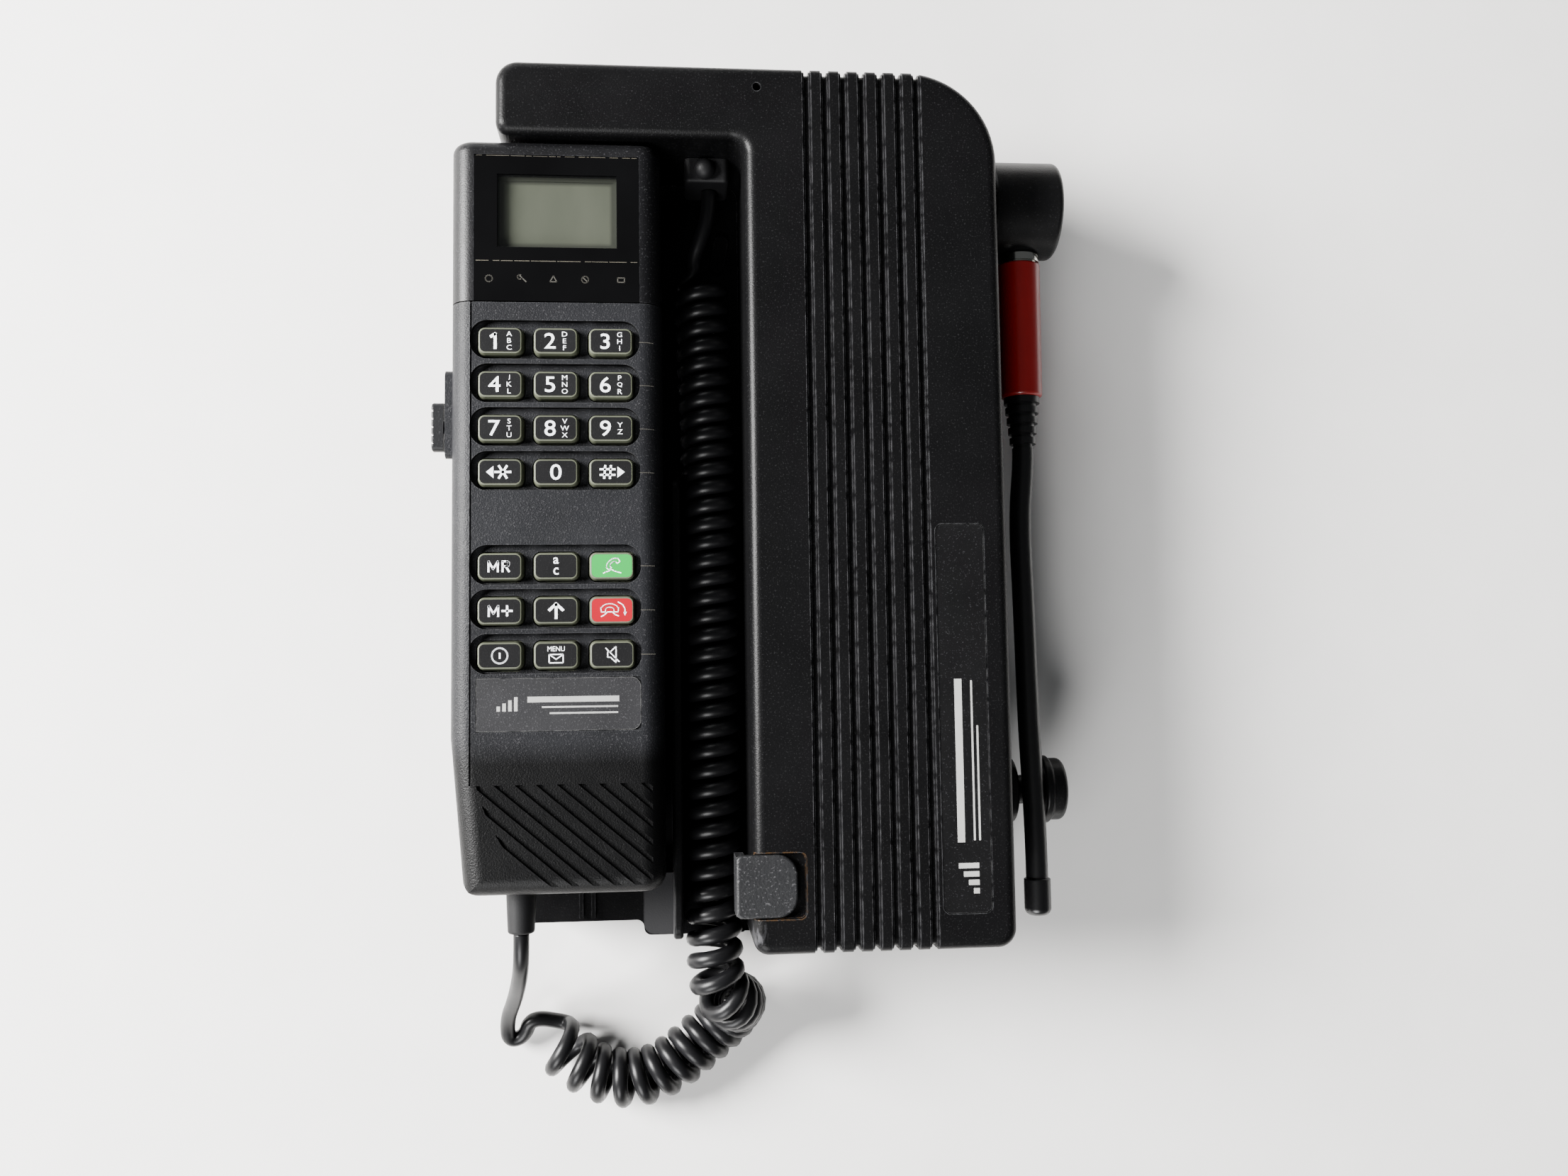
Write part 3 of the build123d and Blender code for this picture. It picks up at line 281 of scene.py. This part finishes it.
latch_grey = finish("latch_plastic", (0.012, 0.0123, 0.0132), 0.42, grain=1.0, grain_mm=0.7,
                    speck_and_glint=(0.042, 0.042, 0.0441), speck_and_glint_mm=0.6, speck_and_glint_at=0.60,
                    edge_wear_and_highlight=(0.126, 0.126, 0.126), specular=0.25)
plate = finish("plate_grey", (0.0118, 0.0118, 0.0130), 0.48, grain=0.35, grain_mm=0.4,
               speck_and_glint=(0.03375, 0.03375, 0.036), speck_and_glint_mm=0.4, speck_and_glint_at=0.60, edge_wear_and_highlight=(0.135, 0.135, 0.1305),
               edge_wear_and_highlight_mm=0.25, edge_wear_and_highlight_share=0.8, specular=0.25)
case_plate = finish("case_plate_grey", (0.0028, 0.0028, 0.0030), 0.42, grain=0.2, grain_mm=0.4,
                    speck_and_glint=(0.0175, 0.0175, 0.019), speck_and_glint_mm=0.4, edge_wear_and_highlight=(0.07, 0.07, 0.07),
                    edge_wear_and_highlight_mm=0.25, edge_wear_and_highlight_share=0.6, specular=0.18)
rubber = finish("soft_rubber", (0.005, 0.005, 0.0055), 0.55, grain=0.3, specular=0.2)
jacket = finish("cord_jacket", (0.00425, 0.00425, 0.00475), 0.36, grain=0.12, grain_mm=1.6,
                mottle=0.3, specular=0.22)
board = finish("circuit_board", (0.02, 0.12, 0.05), 0.4, mottle=0.2, grain=0.2,
               speck_and_glint=(0.5, 0.5, 0.45), speck_and_glint_mm=1.2, speck_and_glint_at=0.66)
steel = finish("steel", (0.55, 0.55, 0.56), 0.32, metal=1.0, grain=0.15, grain_mm=0.8)
nickel = finish("nickel", (0.45, 0.45, 0.42), 0.16, metal=1.0, grain=0.1, grain_mm=1.5)
gold = finish("gold_contact", (0.85, 0.62, 0.25), 0.25, metal=1.0, grain=0.1)
speaker = finish("speaker_plastic", (0.015, 0.015, 0.015), 0.55, grain=0.3, specular=0.3)
hub = finish("hub_plastic", (0.0035, 0.0035, 0.00375), 0.38, grain=0.35, grain_mm=0.45,
             speck_and_glint=(0.015, 0.015, 0.016), edge_wear_and_highlight=(0.03, 0.03, 0.031), edge_wear_and_highlight_share=0.4, specular=0.2)
red = finish("red_sleeve", (0.23, 0.002, 0.002), 0.35, grain=0.1, mottle=0.12, coat=0.15)
whip = finish("whip_rubber", (0.004, 0.004, 0.0045), 0.35, grain=0.15, mottle=0.2)


def with_window(material):
    """Makes the part of a dark lens that lies over the display clear and a little glossy."""
    tree = material.node_tree
    clear = tree.nodes.new("ShaderNodeBsdfTransparent")
    clear.inputs["Color"].default_value = (0.93, 0.94, 0.93, 1)
    gloss = tree.nodes.new("ShaderNodeBsdfGlossy")
    gloss.inputs["Roughness"].default_value = 0.06
    glass = tree.nodes.new("ShaderNodeMixShader")
    glass.inputs[0].default_value = 0.03
    tree.links.new(clear.outputs[0], glass.inputs[1])
    tree.links.new(gloss.outputs[0], glass.inputs[2])
    window = tree.nodes.new("ShaderNodeMixShader")
    tree.links.new(inside(tree, (-70.9, 68.7, None), (-39.1, 88.7, None), 0.05), window.inputs[0])
    tree.links.new(tree.nodes["Principled BSDF"].outputs[0], window.inputs[1])
    tree.links.new(glass.outputs[0], window.inputs[2])
    tree.links.new(window.outputs[0], tree.nodes["Material Output"].inputs["Surface"])
    return material


lens = with_window(finish("display_lens", (0.0015, 0.0015, 0.001625), 0.12, specular=0.25))


def lcd_face_with_rim_shade(tree, made):
    """Grey-green glass with a darker border round it: painted shade for the shadow of the window's rim
    above.
    """
    face = inside(tree, (-68.9, 70.5, None), (-40.8, 87.0, None), 0.5)
    streak = ramp(tree, noise(tree, 9.0, stretch=(1, 0.3, 1)), 0.35, 0.7)
    pale = mix(tree, streak, (0.060, 0.063, 0.050), (0.071, 0.074, 0.059))
    # painted shade: the darker colour outside the face
    return mix(tree, face, (0.03, 0.031, 0.026), pale)


lcd = finish("lcd_panel", (0.2, 0.2, 0.2), 0.22, mottle=0.1, extra=lcd_face_with_rim_shade)

finishes = {
    "front_housing": plastic, "rear_housing": plastic, "battery_case": plastic, "cradle": cradle_plastic,
    "battery_cover": plastic, "label_plate": case_plate, "latch_spring": steel, "rubber_pads": rubber,
    "housing_screws": steel, "battery_contacts": gold, "main_board": board, "rf_shield": steel,
    "strap_stud": hub, "antenna_axle": steel, "cord_plug": rubber, "cord_boot": rubber,
    "cord_lead_top": jacket, "cord_coil": jacket, "cord_lead_handset": jacket,
    "handset_front_shell": shell, "handset_rear_shell": rear_shell, "display_cover": cover,
    "display_lens": lens, "lcd_module": lcd, "keypad_mat": rubber, "handset_board": board,
    "earpiece_speaker": speaker, "microphone": speaker, "handset_label": plate,
    "handset_screws": steel, "antenna_hub": hub, "antenna_ring": nickel, "antenna_sleeve": red,
    "antenna_grip": whip, "antenna_whip": whip, "antenna_tip": whip, "battery_cells": steel,
    "release_latch": latch_grey, "volume_slider": rear_shell,
}
for name, obj in nodes.items():
    chosen = cap if name.startswith("key_") else finishes[name]
    obj.data.materials.clear()
    obj.data.materials.append(chosen)

# ---- Floor -----------------------------------------------------------------------------

floor_paint = finish("floor_paper", (0.80, 0.79, 0.775), 0.75, mottle=0.015, specular=0.2)
floor_mesh = bpy.data.meshes.new("floor")
floor_mesh.from_pydata([(-3, -3, 0), (3, -3, 0), (3, 3, 0), (-3, 3, 0)], [], [(0, 1, 2, 3)])
floor = bpy.data.objects.new("floor", floor_mesh)
bpy.context.scene.collection.objects.link(floor)
floor.data.materials.append(floor_paint)

# ---- Cord: the wire runs from the plug, coils down the trough, folds and comes back -----

wire_diameter = 4.4
turn_radius = 5.8
loose_radius = 6.2           # of the turns that hang free of the trough
trough_end = 190             # along the axis; the turns widen over the next stretch
widening = 15
start_angle = math.radians(200)
turn_points = 18             # points to each turn
run_out = 3 * MM             # straight stretch at both ends of the coil


def route(name, points, fineness=24):
    """Points in metres along the smooth line that the given points steer, read from its spline."""
    curve = bpy.data.curves.new(name, "CURVE")
    curve.dimensions = "3D"
    spline = curve.splines.new("NURBS")
    spline.points.add(len(points) - 1)
    for p, co in zip(spline.points, points):
        p.co = (*co, 1)
    spline.order_u = 3
    spline.use_endpoint_u = True
    spline.resolution_u = fineness
    line = bpy.data.objects.new(name, curve)
    bpy.context.scene.collection.objects.link(line)
    mesh = bpy.data.meshes.new_from_object(line)
    read = [v.co.copy() for v in mesh.vertices]
    bpy.data.objects.remove(line)
    bpy.data.meshes.remove(mesh)
    return read


tail_points = [(-0.0134, 0.0924, 0.0375), (-0.0134, 0.0860, 0.0375), (-0.0160, 0.0790, 0.0355),
               (-0.0180, 0.0740, 0.0330), (-0.0175, 0.0700, 0.0320)]
axis_points = [(-0.0160, 0.0670, 0.0322), (-0.0150, 0.0420, 0.0323), (-0.0139, 0.0080, 0.0322),
               (-0.0137, -0.0400, 0.0323), (-0.0139, -0.0880, 0.0324), (-0.0139, -0.1200, 0.0325),
               (-0.0132, -0.1330, 0.0325), (-0.0085, -0.1385, 0.0265), (-0.0060, -0.1410, 0.0130),
               (-0.0090, -0.1465, 0.0086), (-0.0170, -0.1530, 0.0086), (-0.0265, -0.1605, 0.0086),
               (-0.0370, -0.1640, 0.0086), (-0.0480, -0.1615, 0.0086), (-0.0560, -0.1555, 0.0088),
               (-0.0620, -0.1495, 0.0092)]
lead_points = [(-0.0668, -0.1450, 0.0075), (-0.0690, -0.1515, 0.0040), (-0.0738, -0.1525, 0.0040),
               (-0.0735, -0.1450, 0.0085), (-0.0703, -0.1375, 0.0180), (-0.0674, -0.1285, 0.0320),
               (-0.0662, -0.1215, 0.0396), (-0.0662, -0.1150, 0.0400)]

# distance along the axis, and the pitch of the turns there, both in millimetres
pitches = [(0, 6.0), (8, 5.1), (60, 5.1), (150, 5.5), (188, 6.0), (203, 6.0), (208, 4.2),
           (228, 3.9), (236, 5.0), (255, 5.8), (275, 6.2), (286, 8.0), (400, 9.0)]


def pitch_at(distance):
    """Pitch of the turns at a distance along the axis."""
    for (a, low), (b, high) in zip(pitches, pitches[1:]):
        if a <= distance <= b:
            return low + (high - low) * (distance - a) / (b - a)
    return pitches[-1][1]


def turns_round(axis):
    """Points of the helix round an axis, up to the last turn's crest."""
    points = []
    side = Vector((1, 0, 0))
    angle = last_angle = start_angle
    travelled = 0.0
    for before, p in zip(axis, axis[1:]):
        along = (p - before).normalized()
        side = (side - along * side.dot(along)).normalized()
        other = along.cross(side)
        step = (p - before).length / MM
        travelled += step
        angle += 2 * math.pi * step / pitch_at(travelled)
        if angle - last_angle > 2 * math.pi / turn_points:
            last_angle = angle
            free = min(max((travelled - trough_end) / widening, 0), 1)
            reach = (turn_radius + (loose_radius - turn_radius) * free) * MM
            points.append(p + (side * math.cos(angle) + other * math.sin(angle)) * reach)
    crest = max(range(len(points) - turn_points, len(points)), key=lambda k: points[k].y)
    return points[:crest + 1]


helix = turns_round(route("coil_axis", axis_points, 240))
enter = helix[0] - (helix[1] - helix[0]).normalized() * run_out
leave = helix[-1] + (helix[-1] - helix[-2]).normalized() * run_out
start_run = route("cord_tail", [*tail_points, tuple(enter), tuple(helix[0])])
end_run = route("cord_lead", [tuple(helix[-1]), tuple(leave), *lead_points])
cord_line = start_run + helix[1:-1] + end_run


def tube(name, line, radius, sides=12):
    """Round tube along the points, its rings turned as little as the line allows."""
    bm = bmesh.new()
    ahead = [(line[min(i + 1, len(line) - 1)] - line[max(i - 1, 0)]).normalized() for i in range(len(line))]
    across = ahead[0].orthogonal().normalized()
    rings = []
    for p, forward in zip(line, ahead):
        across = (across - forward * across.dot(forward)).normalized()
        beside = forward.cross(across)
        rings.append([bm.verts.new(p + (across * math.cos(t) + beside * math.sin(t)) * radius)
                      for t in (2 * math.pi * k / sides for k in range(sides))])
    for a, b in zip(rings, rings[1:]):
        for k in range(sides):
            bm.faces.new((a[k], a[(k + 1) % sides], b[(k + 1) % sides], b[k]))
    bm.faces.new(list(reversed(rings[0])))
    bm.faces.new(rings[-1])
    for f in bm.faces:
        f.smooth = len(f.verts) == 4
    mesh = bpy.data.meshes.new(name)
    bm.to_mesh(mesh)
    bm.free()
    obj = bpy.data.objects.new(name, mesh)
    bpy.context.scene.collection.objects.link(obj)
    return obj


cord = tube("handset_cord", cord_line, wire_diameter / 2 * MM)
cord.data.materials.append(jacket)
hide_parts("cord_lead_top", "cord_coil", "cord_lead_handset")
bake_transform(cord)

# ---- Printing: flat shapes a hair above the surface they lie on -------------------------

trees = {}
past_end = 0.6              # of half a line's width, the length a stroke adds at each end
film = 0.03                 # thickness of the printed lines and signs
lens_height = 57.0          # for a print that would hang over the lens's rim


def top_of(node, x, y):
    """Height in millimetres of the CAD node's surface straight below (x, y)."""
    if node not in trees:
        mesh = nodes[node].data
        trees[node] = BVHTree.FromPolygons([v.co for v in mesh.vertices],
                                           [p.vertices for p in mesh.polygons])
    hit = trees[node].ray_cast(Vector((x * MM, y * MM, 0.2)), Vector((0, 0, -1)))[0]
    return hit.z / MM if hit else None


def slab(bm, outline, low, high):
    """Thin plate between two heights from an outline."""
    under = [bm.verts.new((x * MM, y * MM, low * MM)) for x, y in outline]
    over = [bm.verts.new((x * MM, y * MM, high * MM)) for x, y in outline]
    count = len(outline)
    bm.faces.new(over)
    bm.faces.new(list(reversed(under)))
    for k in range(count):
        bm.faces.new((under[k], under[(k + 1) % count], over[(k + 1) % count], over[k]))


def stroke(bm, points, width, low, high, closed=False):
    """Line of even width, one plate for each straight run, a little longer so that corners close."""
    for (x0, y0), (x1, y1) in zip(points, points[1:] + points[:1] if closed else points[1:]):
        length = math.hypot(x1 - x0, y1 - y0) or 1
        across_x, across_y = (x1 - x0) / length * width / 2, (y1 - y0) / length * width / 2
        past_x, past_y = across_x * past_end, across_y * past_end
        slab(bm, [(x0 - past_x + across_y, y0 - past_y - across_x),
                  (x1 + past_x + across_y, y1 + past_y - across_x),
                  (x1 + past_x - across_y, y1 + past_y + across_x),
                  (x0 - past_x - across_y, y0 - past_y + across_x)], low, high)


def arc(x, y, radius, start, end, steps=16, tall=1.0):
    """Points on an arc between two angles in degrees; tall stretches it upwards."""
    return [(x + radius * math.cos(math.radians(start + (end - start) * k / steps)),
             y + tall * radius * math.sin(math.radians(start + (end - start) * k / steps)))
            for k in range(steps + 1)]


def words(bm, text, x, y, height, z, bold=0.0, squeeze=1.0):
    """Letters or digits centred on (x, y)."""
    curve = bpy.data.curves.new("text", "FONT")
    curve.body = text
    curve.size = 1.0
    curve.extrude = 0.01
    curve.offset = bold
    curve.resolution_u = 4
    made = bpy.data.objects.new("text", curve)
    bpy.context.scene.collection.objects.link(made)
    mesh = bpy.data.meshes.new_from_object(made)
    bpy.data.objects.remove(made)
    xs, ys = [v.co.x for v in mesh.vertices], [v.co.y for v in mesh.vertices]
    scale = height / (max(ys) - min(ys))
    middle = ((max(xs) + min(xs)) / 2, (max(ys) + min(ys)) / 2)
    mesh.transform(Matrix.Translation((x * MM, y * MM, z * MM))
                   @ Matrix.Diagonal((scale * squeeze * MM, scale * MM, 2 * MM, 1))
                   @ Matrix.Translation((-middle[0], -middle[1], 0)))
    bm.from_mesh(mesh)
    bpy.data.meshes.remove(mesh)


def rounded(x, y, width, height, radius, steps=6):
    """Outline of a rectangle with round corners."""
    far_x, far_y = width / 2 - radius, height / 2 - radius
    corners = [(far_x, far_y, 0), (-far_x, far_y, 90), (-far_x, -far_y, 180), (far_x, -far_y, 270)]
    return [point for cx, cy, turn in corners
            for point in arc(x + cx, y + cy, radius, turn, turn + 90, steps)]


def piece(name, bm, paint, body):
    """Makes a printed piece that rides on a body."""
    mesh = bpy.data.meshes.new(name)
    bmesh.ops.recalc_face_normals(bm, faces=bm.faces)
    bm.to_mesh(mesh)
    bm.free()
    obj = bpy.data.objects.new(name, mesh)
    bpy.context.scene.collection.objects.link(obj)
    obj.data.materials.append(paint)
    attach(obj, body)


letters = {"1": "ABC", "2": "DEF", "3": "GHI", "4": "JKL", "5": "MNO", "6": "PQR", "7": "STU",
           "8": "VWX", "9": "YZ"}


def receiver(bm, x, y, size, tilt, width, z0, z1):
    """Outline of a telephone handset, turned by tilt degrees."""
    outline = ([(-1.0, -0.42), (-1.05, 0.10)] + arc(0, -0.05, 1.0, 165, 15, 12, 0.62)
               + [(1.05, 0.10), (1.0, -0.42), (0.52, -0.42), (0.50, -0.10)]
               + arc(0, -0.10, 0.46, 20, 160, 8, 0.55) + [(-0.50, -0.10), (-0.52, -0.42)])
    c, s = math.cos(math.radians(tilt)), math.sin(math.radians(tilt))
    turned = [(x + size * (px * c - py * s), y + size * (px * s + py * c)) for px, py in outline]
    stroke(bm, turned, width, z0, z1, closed=True)


def letter_m(x, y):
    """Corners of the letter M."""
    return [(x - 1.2, y - 1.4), (x - 1.2, y + 1.3), (x, y - 0.7), (x + 1.2, y + 1.3), (x + 1.2, y - 1.4)]


def legend(bm, key, x, y, z):
    """White marks on a key: a digit with its letters, or a plain sign."""
    z0, z1 = z, z + 0.05
    if key in "123456789":
        if key == "1":
            stroke(bm, [(x - 2.4, y + 1.05), (x - 1.3, y + 1.75), (x - 1.3, y - 2.1)], 0.8, z0, z1)
        else:
            words(bm, key, x - 1.5, y, 4.2, z, 0.006, 1.12)
        rows = letters[key]
        for k, letter in enumerate(rows):
            words(bm, letter, x + 2.35, y + (len(rows) - 1) * 0.92 - k * 1.84, 1.3, z, 0.0, 1.15)
    elif key == "0":
        words(bm, key, x, y, 4.2, z, 0.006, 1.12)
    elif key == "star":
        slab(bm, [(x - 3.6, y), (x - 1.7, y - 1.6), (x - 1.7, y + 1.6)], z0, z1)
        for turn in (0, 60, 120):
            dx, dy = 1.1 * 1.85 * math.cos(math.radians(turn)), 1.85 * math.sin(math.radians(turn))
            stroke(bm, [(x + 0.75 - dx, y - dy), (x + 0.75 + dx, y + dy)], 0.6, z0, z1)
    elif key == "hash":
        for d in (-0.75, 0.75):
            stroke(bm, [(x - 2.9, y + d), (x + 0.9, y + d)], 0.55, z0, z1)
            stroke(bm, [(x - 1.15 + d, y - 1.7), (x - 0.85 + d, y + 1.7)], 0.55, z0, z1)
        slab(bm, [(x + 3.5, y), (x + 1.6, y + 1.5), (x + 1.6, y - 1.5)], z0, z1)
    elif key == "recall":
        stroke(bm, letter_m(x - 1.7, y), 0.5, z0, z1)
        bowl = arc(x + 1.7, y + 0.65, 0.68, 90, -90, 8)
        stroke(bm, [(x + 0.7, y - 1.4), (x + 0.7, y + 1.3), *bowl, (x + 0.9, y)], 0.5, z0, z1)
        stroke(bm, [(x + 1.5, y), (x + 2.4, y - 1.4)], 0.5, z0, z1)
    elif key == "store":
        stroke(bm, letter_m(x - 1.6, y), 0.5, z0, z1)
        stroke(bm, [(x + 0.6, y), (x + 3.2, y)], 0.55, z0, z1)
        stroke(bm, [(x + 1.9, y - 1.3), (x + 1.9, y + 1.3)], 0.55, z0, z1)
    elif key == "clear":
        words(bm, "a", x, y + 1.45, 1.7, z, 0.008, 1.0)
        words(bm, "c", x, y - 1.35, 1.9, z, 0.008, 0.9)
    elif key == "up":
        stroke(bm, [(x, y - 2.0), (x, y + 1.7)], 0.75, z0, z1)
        stroke(bm, [(x - 1.75, y + 0.1), (x, y + 1.75), (x + 1.75, y + 0.1)], 0.75, z0, z1)
    elif key == "send":
        receiver(bm, x + 0.2, y + 0.6, 1.85, 38, 0.256, z0, z1)
        stroke(bm, [(x - 2.2, y - 2.0), (x - 1.6, y - 1.6), (x - 0.9, y - 1.5), (x - 0.2, y - 0.9),
                    (x + 0.6, y - 1.4), (x + 1.3, y - 1.6), (x + 2.4, y - 1.9)], 0.28, z0, z1)
    elif key == "end":
        receiver(bm, x - 0.6, y + 0.4, 2.2, 0, 0.224, z0, z1)
        stroke(bm, [(x - 2.8, y - 1.7), (x - 1.9, y - 1.2), (x - 1.2, y - 0.5), (x + 0.1, y - 0.5),
                    (x + 0.8, y - 1.2), (x + 1.7, y - 1.6)], 0.28, z0, z1)
        stroke(bm, [(x + 1.6, y + 2.1), (x + 2.8, y + 1.4), (x + 3.4, y + 0.3), (x + 3.4, y - 0.8)],
               0.26, z0, z1)
        slab(bm, [(x + 3.0, y - 0.6), (x + 3.9, y - 0.5), (x + 3.35, y - 1.5)], z0, z1)
    elif key == "power":
        stroke(bm, arc(x, y, 2.0, 0, 360, 28)[:-1], 0.42, z0, z1, closed=True)
        stroke(bm, [(x, y - 0.65), (x, y + 0.65)], 0.45, z0, z1)
    elif key == "menu":
        words(bm, "MENU", x, y + 1.65, 1.3, z, 0.0, 0.9)
        stroke(bm, rounded(x, y - 0.9, 3.6, 2.2, 0.02, 1), 0.30, z0, z1, closed=True)
        stroke(bm, [(x - 1.7, y + 0.1), (x, y - 1.1), (x + 1.7, y + 0.1)], 0.28, z0, z1)
    elif key == "mute":
        stroke(bm, [(x - 1.2, y + 0.7), (x - 0.5, y + 0.7), (x + 1.0, y + 2.1), (x + 1.0, y - 2.1),
                    (x - 0.5, y - 0.7), (x - 1.2, y - 0.7)], 0.28, z0, z1, closed=True)
        stroke(bm, [(x - 1.7, y + 1.7), (x + 1.8, y - 1.9)], 0.28, z0, z1)


for body, members in frame["record"]["behaviour"]["bodies"].items():
    if not body.startswith("button_"):
        continue
    key = body[len("button_"):]
    low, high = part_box(members[0])
    x, y, z = (low.x + high.x) / 2 / MM, (low.y + high.y) / 2 / MM, high.z / MM
    print_top = bmesh.new()
    slab(print_top, rounded(x, y, 10.55, 6.05, 1.35), z - 0.05, z + 0.02)
    paint = {"send": ink_green, "end": ink_red}.get(key, ink_black)
    piece("key_print_" + key, print_top, paint, body)
    marks = bmesh.new()
    legend(marks, key, x, y, z + 0.02)
    piece("key_legend_" + key, marks, ink_white, body)

# worn lines above and below the display, and five small signs under it
rng = random.Random(4)
stripes = bmesh.new()
stripe_left, stripe_right = -76.4, -33.7
for y, width in ((93.75, 0.14), (64.9, 0.20)):
    x = stripe_left
    while x < stripe_right - 0.3:
        run = rng.uniform(0.5, 4.5)
        end = min(x + run, stripe_right)
        z = top_of("display_lens", (x + end) / 2, y) or lens_height
        stroke(stripes, [(x, y), (end, y)], width * rng.uniform(0.75, 1.05), z, z + film)
        x = end + rng.choice((0.05, 0.2, 0.5, 1.2))
piece("display_stripes", stripes, ink_cream, "handset")

signs = bmesh.new()
z0 = top_of("display_lens", -56, 60) or lens_height
z1 = z0 + film
stroke(signs, arc(-73.0, 60.0, 0.9, 0, 360, 16)[:-1], 0.3, z0, z1, closed=True)
stroke(signs, [(-64.9, 60.9), (-64.2, 60.2), (-63.2, 59.2)], 0.3, z0, z1)
stroke(signs, arc(-64.9, 60.5, 0.6, 60, 300, 8), 0.28, z0, z1)
stroke(signs, [(-56.9, 59.3), (-55.1, 59.3), (-56.0, 60.9)], 0.28, z0, z1, closed=True)
stroke(signs, arc(-47.6, 60.0, 0.9, 0, 360, 16)[:-1], 0.28, z0, z1, closed=True)
stroke(signs, [(-48.2, 60.6), (-47.0, 59.4)], 0.28, z0, z1)
stroke(signs, [(-38.9, 59.4), (-37.1, 59.4), (-37.1, 60.6), (-38.9, 60.6)], 0.28, z0, z1, closed=True)
piece("display_signs", signs, ink_faint, "handset")

# a short line to the right of each row of keys
ticks = bmesh.new()
tick_start, tick_step = -33.2, 0.45
for key in ("3", "6", "9", "hash", "send", "end", "mute"):
    low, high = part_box("key_" + key)
    y = (low.y + high.y) / 2 / MM
    for k in range(8):
        x = tick_start + k * tick_step
        z = top_of("handset_front_shell", x + 0.22, y)
        if z:
            stroke(ticks, [(x, y), (x + tick_step, y)], 0.22, z, z + 0.04)
piece("row_ticks", ticks, ink_faint, "handset")

# plain graphics on the handset's plate and on the long plate: bars and lines, no words
low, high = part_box("handset_label")
x0, x1, y0, y1, z = low.x / MM, high.x / MM, low.y / MM, high.y / MM, high.z / MM
marks = bmesh.new()
for k, tall in enumerate((1.3, 2.1, 2.9, 3.7)):
    left = x0 + 5.2 + k * 1.5
    slab(marks, [(left, y0 + 5.2), (left + 0.9, y0 + 5.2), (left + 0.9, y0 + 5.2 + tall),
                 (left, y0 + 5.2 + tall)], z, z + film)
for row, (start, end, width) in enumerate(((13.6, 36.5, 1.5), (17.0, 36.5, 0.45), (19.0, 36.5, 0.45))):
    y = y0 + (8.2, 6.2, 4.6)[row]
    stroke(marks, [(x0 + start, y), (x0 + end, y)], width, z, z + film)
piece("handset_plate_print", marks, ink_silver, "handset")

low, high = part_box("label_plate")
x0, x1, y0, y1, z = low.x / MM, high.x / MM, low.y / MM, high.y / MM, high.z / MM
marks = bmesh.new()
middle = (x0 + x1) / 2
for k in range(4):
    tall, near = 1.6 + 1.3 * k, y0 + 5.0 + k * 2.2
    slab(marks, [(middle + 3.2 - tall, near), (middle + 3.2, near), (middle + 3.2, near + 1.4),
                 (middle + 3.2 - tall, near + 1.4)], z, z + film)
for x, far, width in ((middle - 1.4, 61, 2.0), (middle + 2.2, 61, 0.5), (middle + 3.6, 49, 0.5)):
    stroke(marks, [(x, y0 + 19), (x, y0 + far)], width, z, z + film)
piece("long_plate_print", marks, ink_silver, "base")
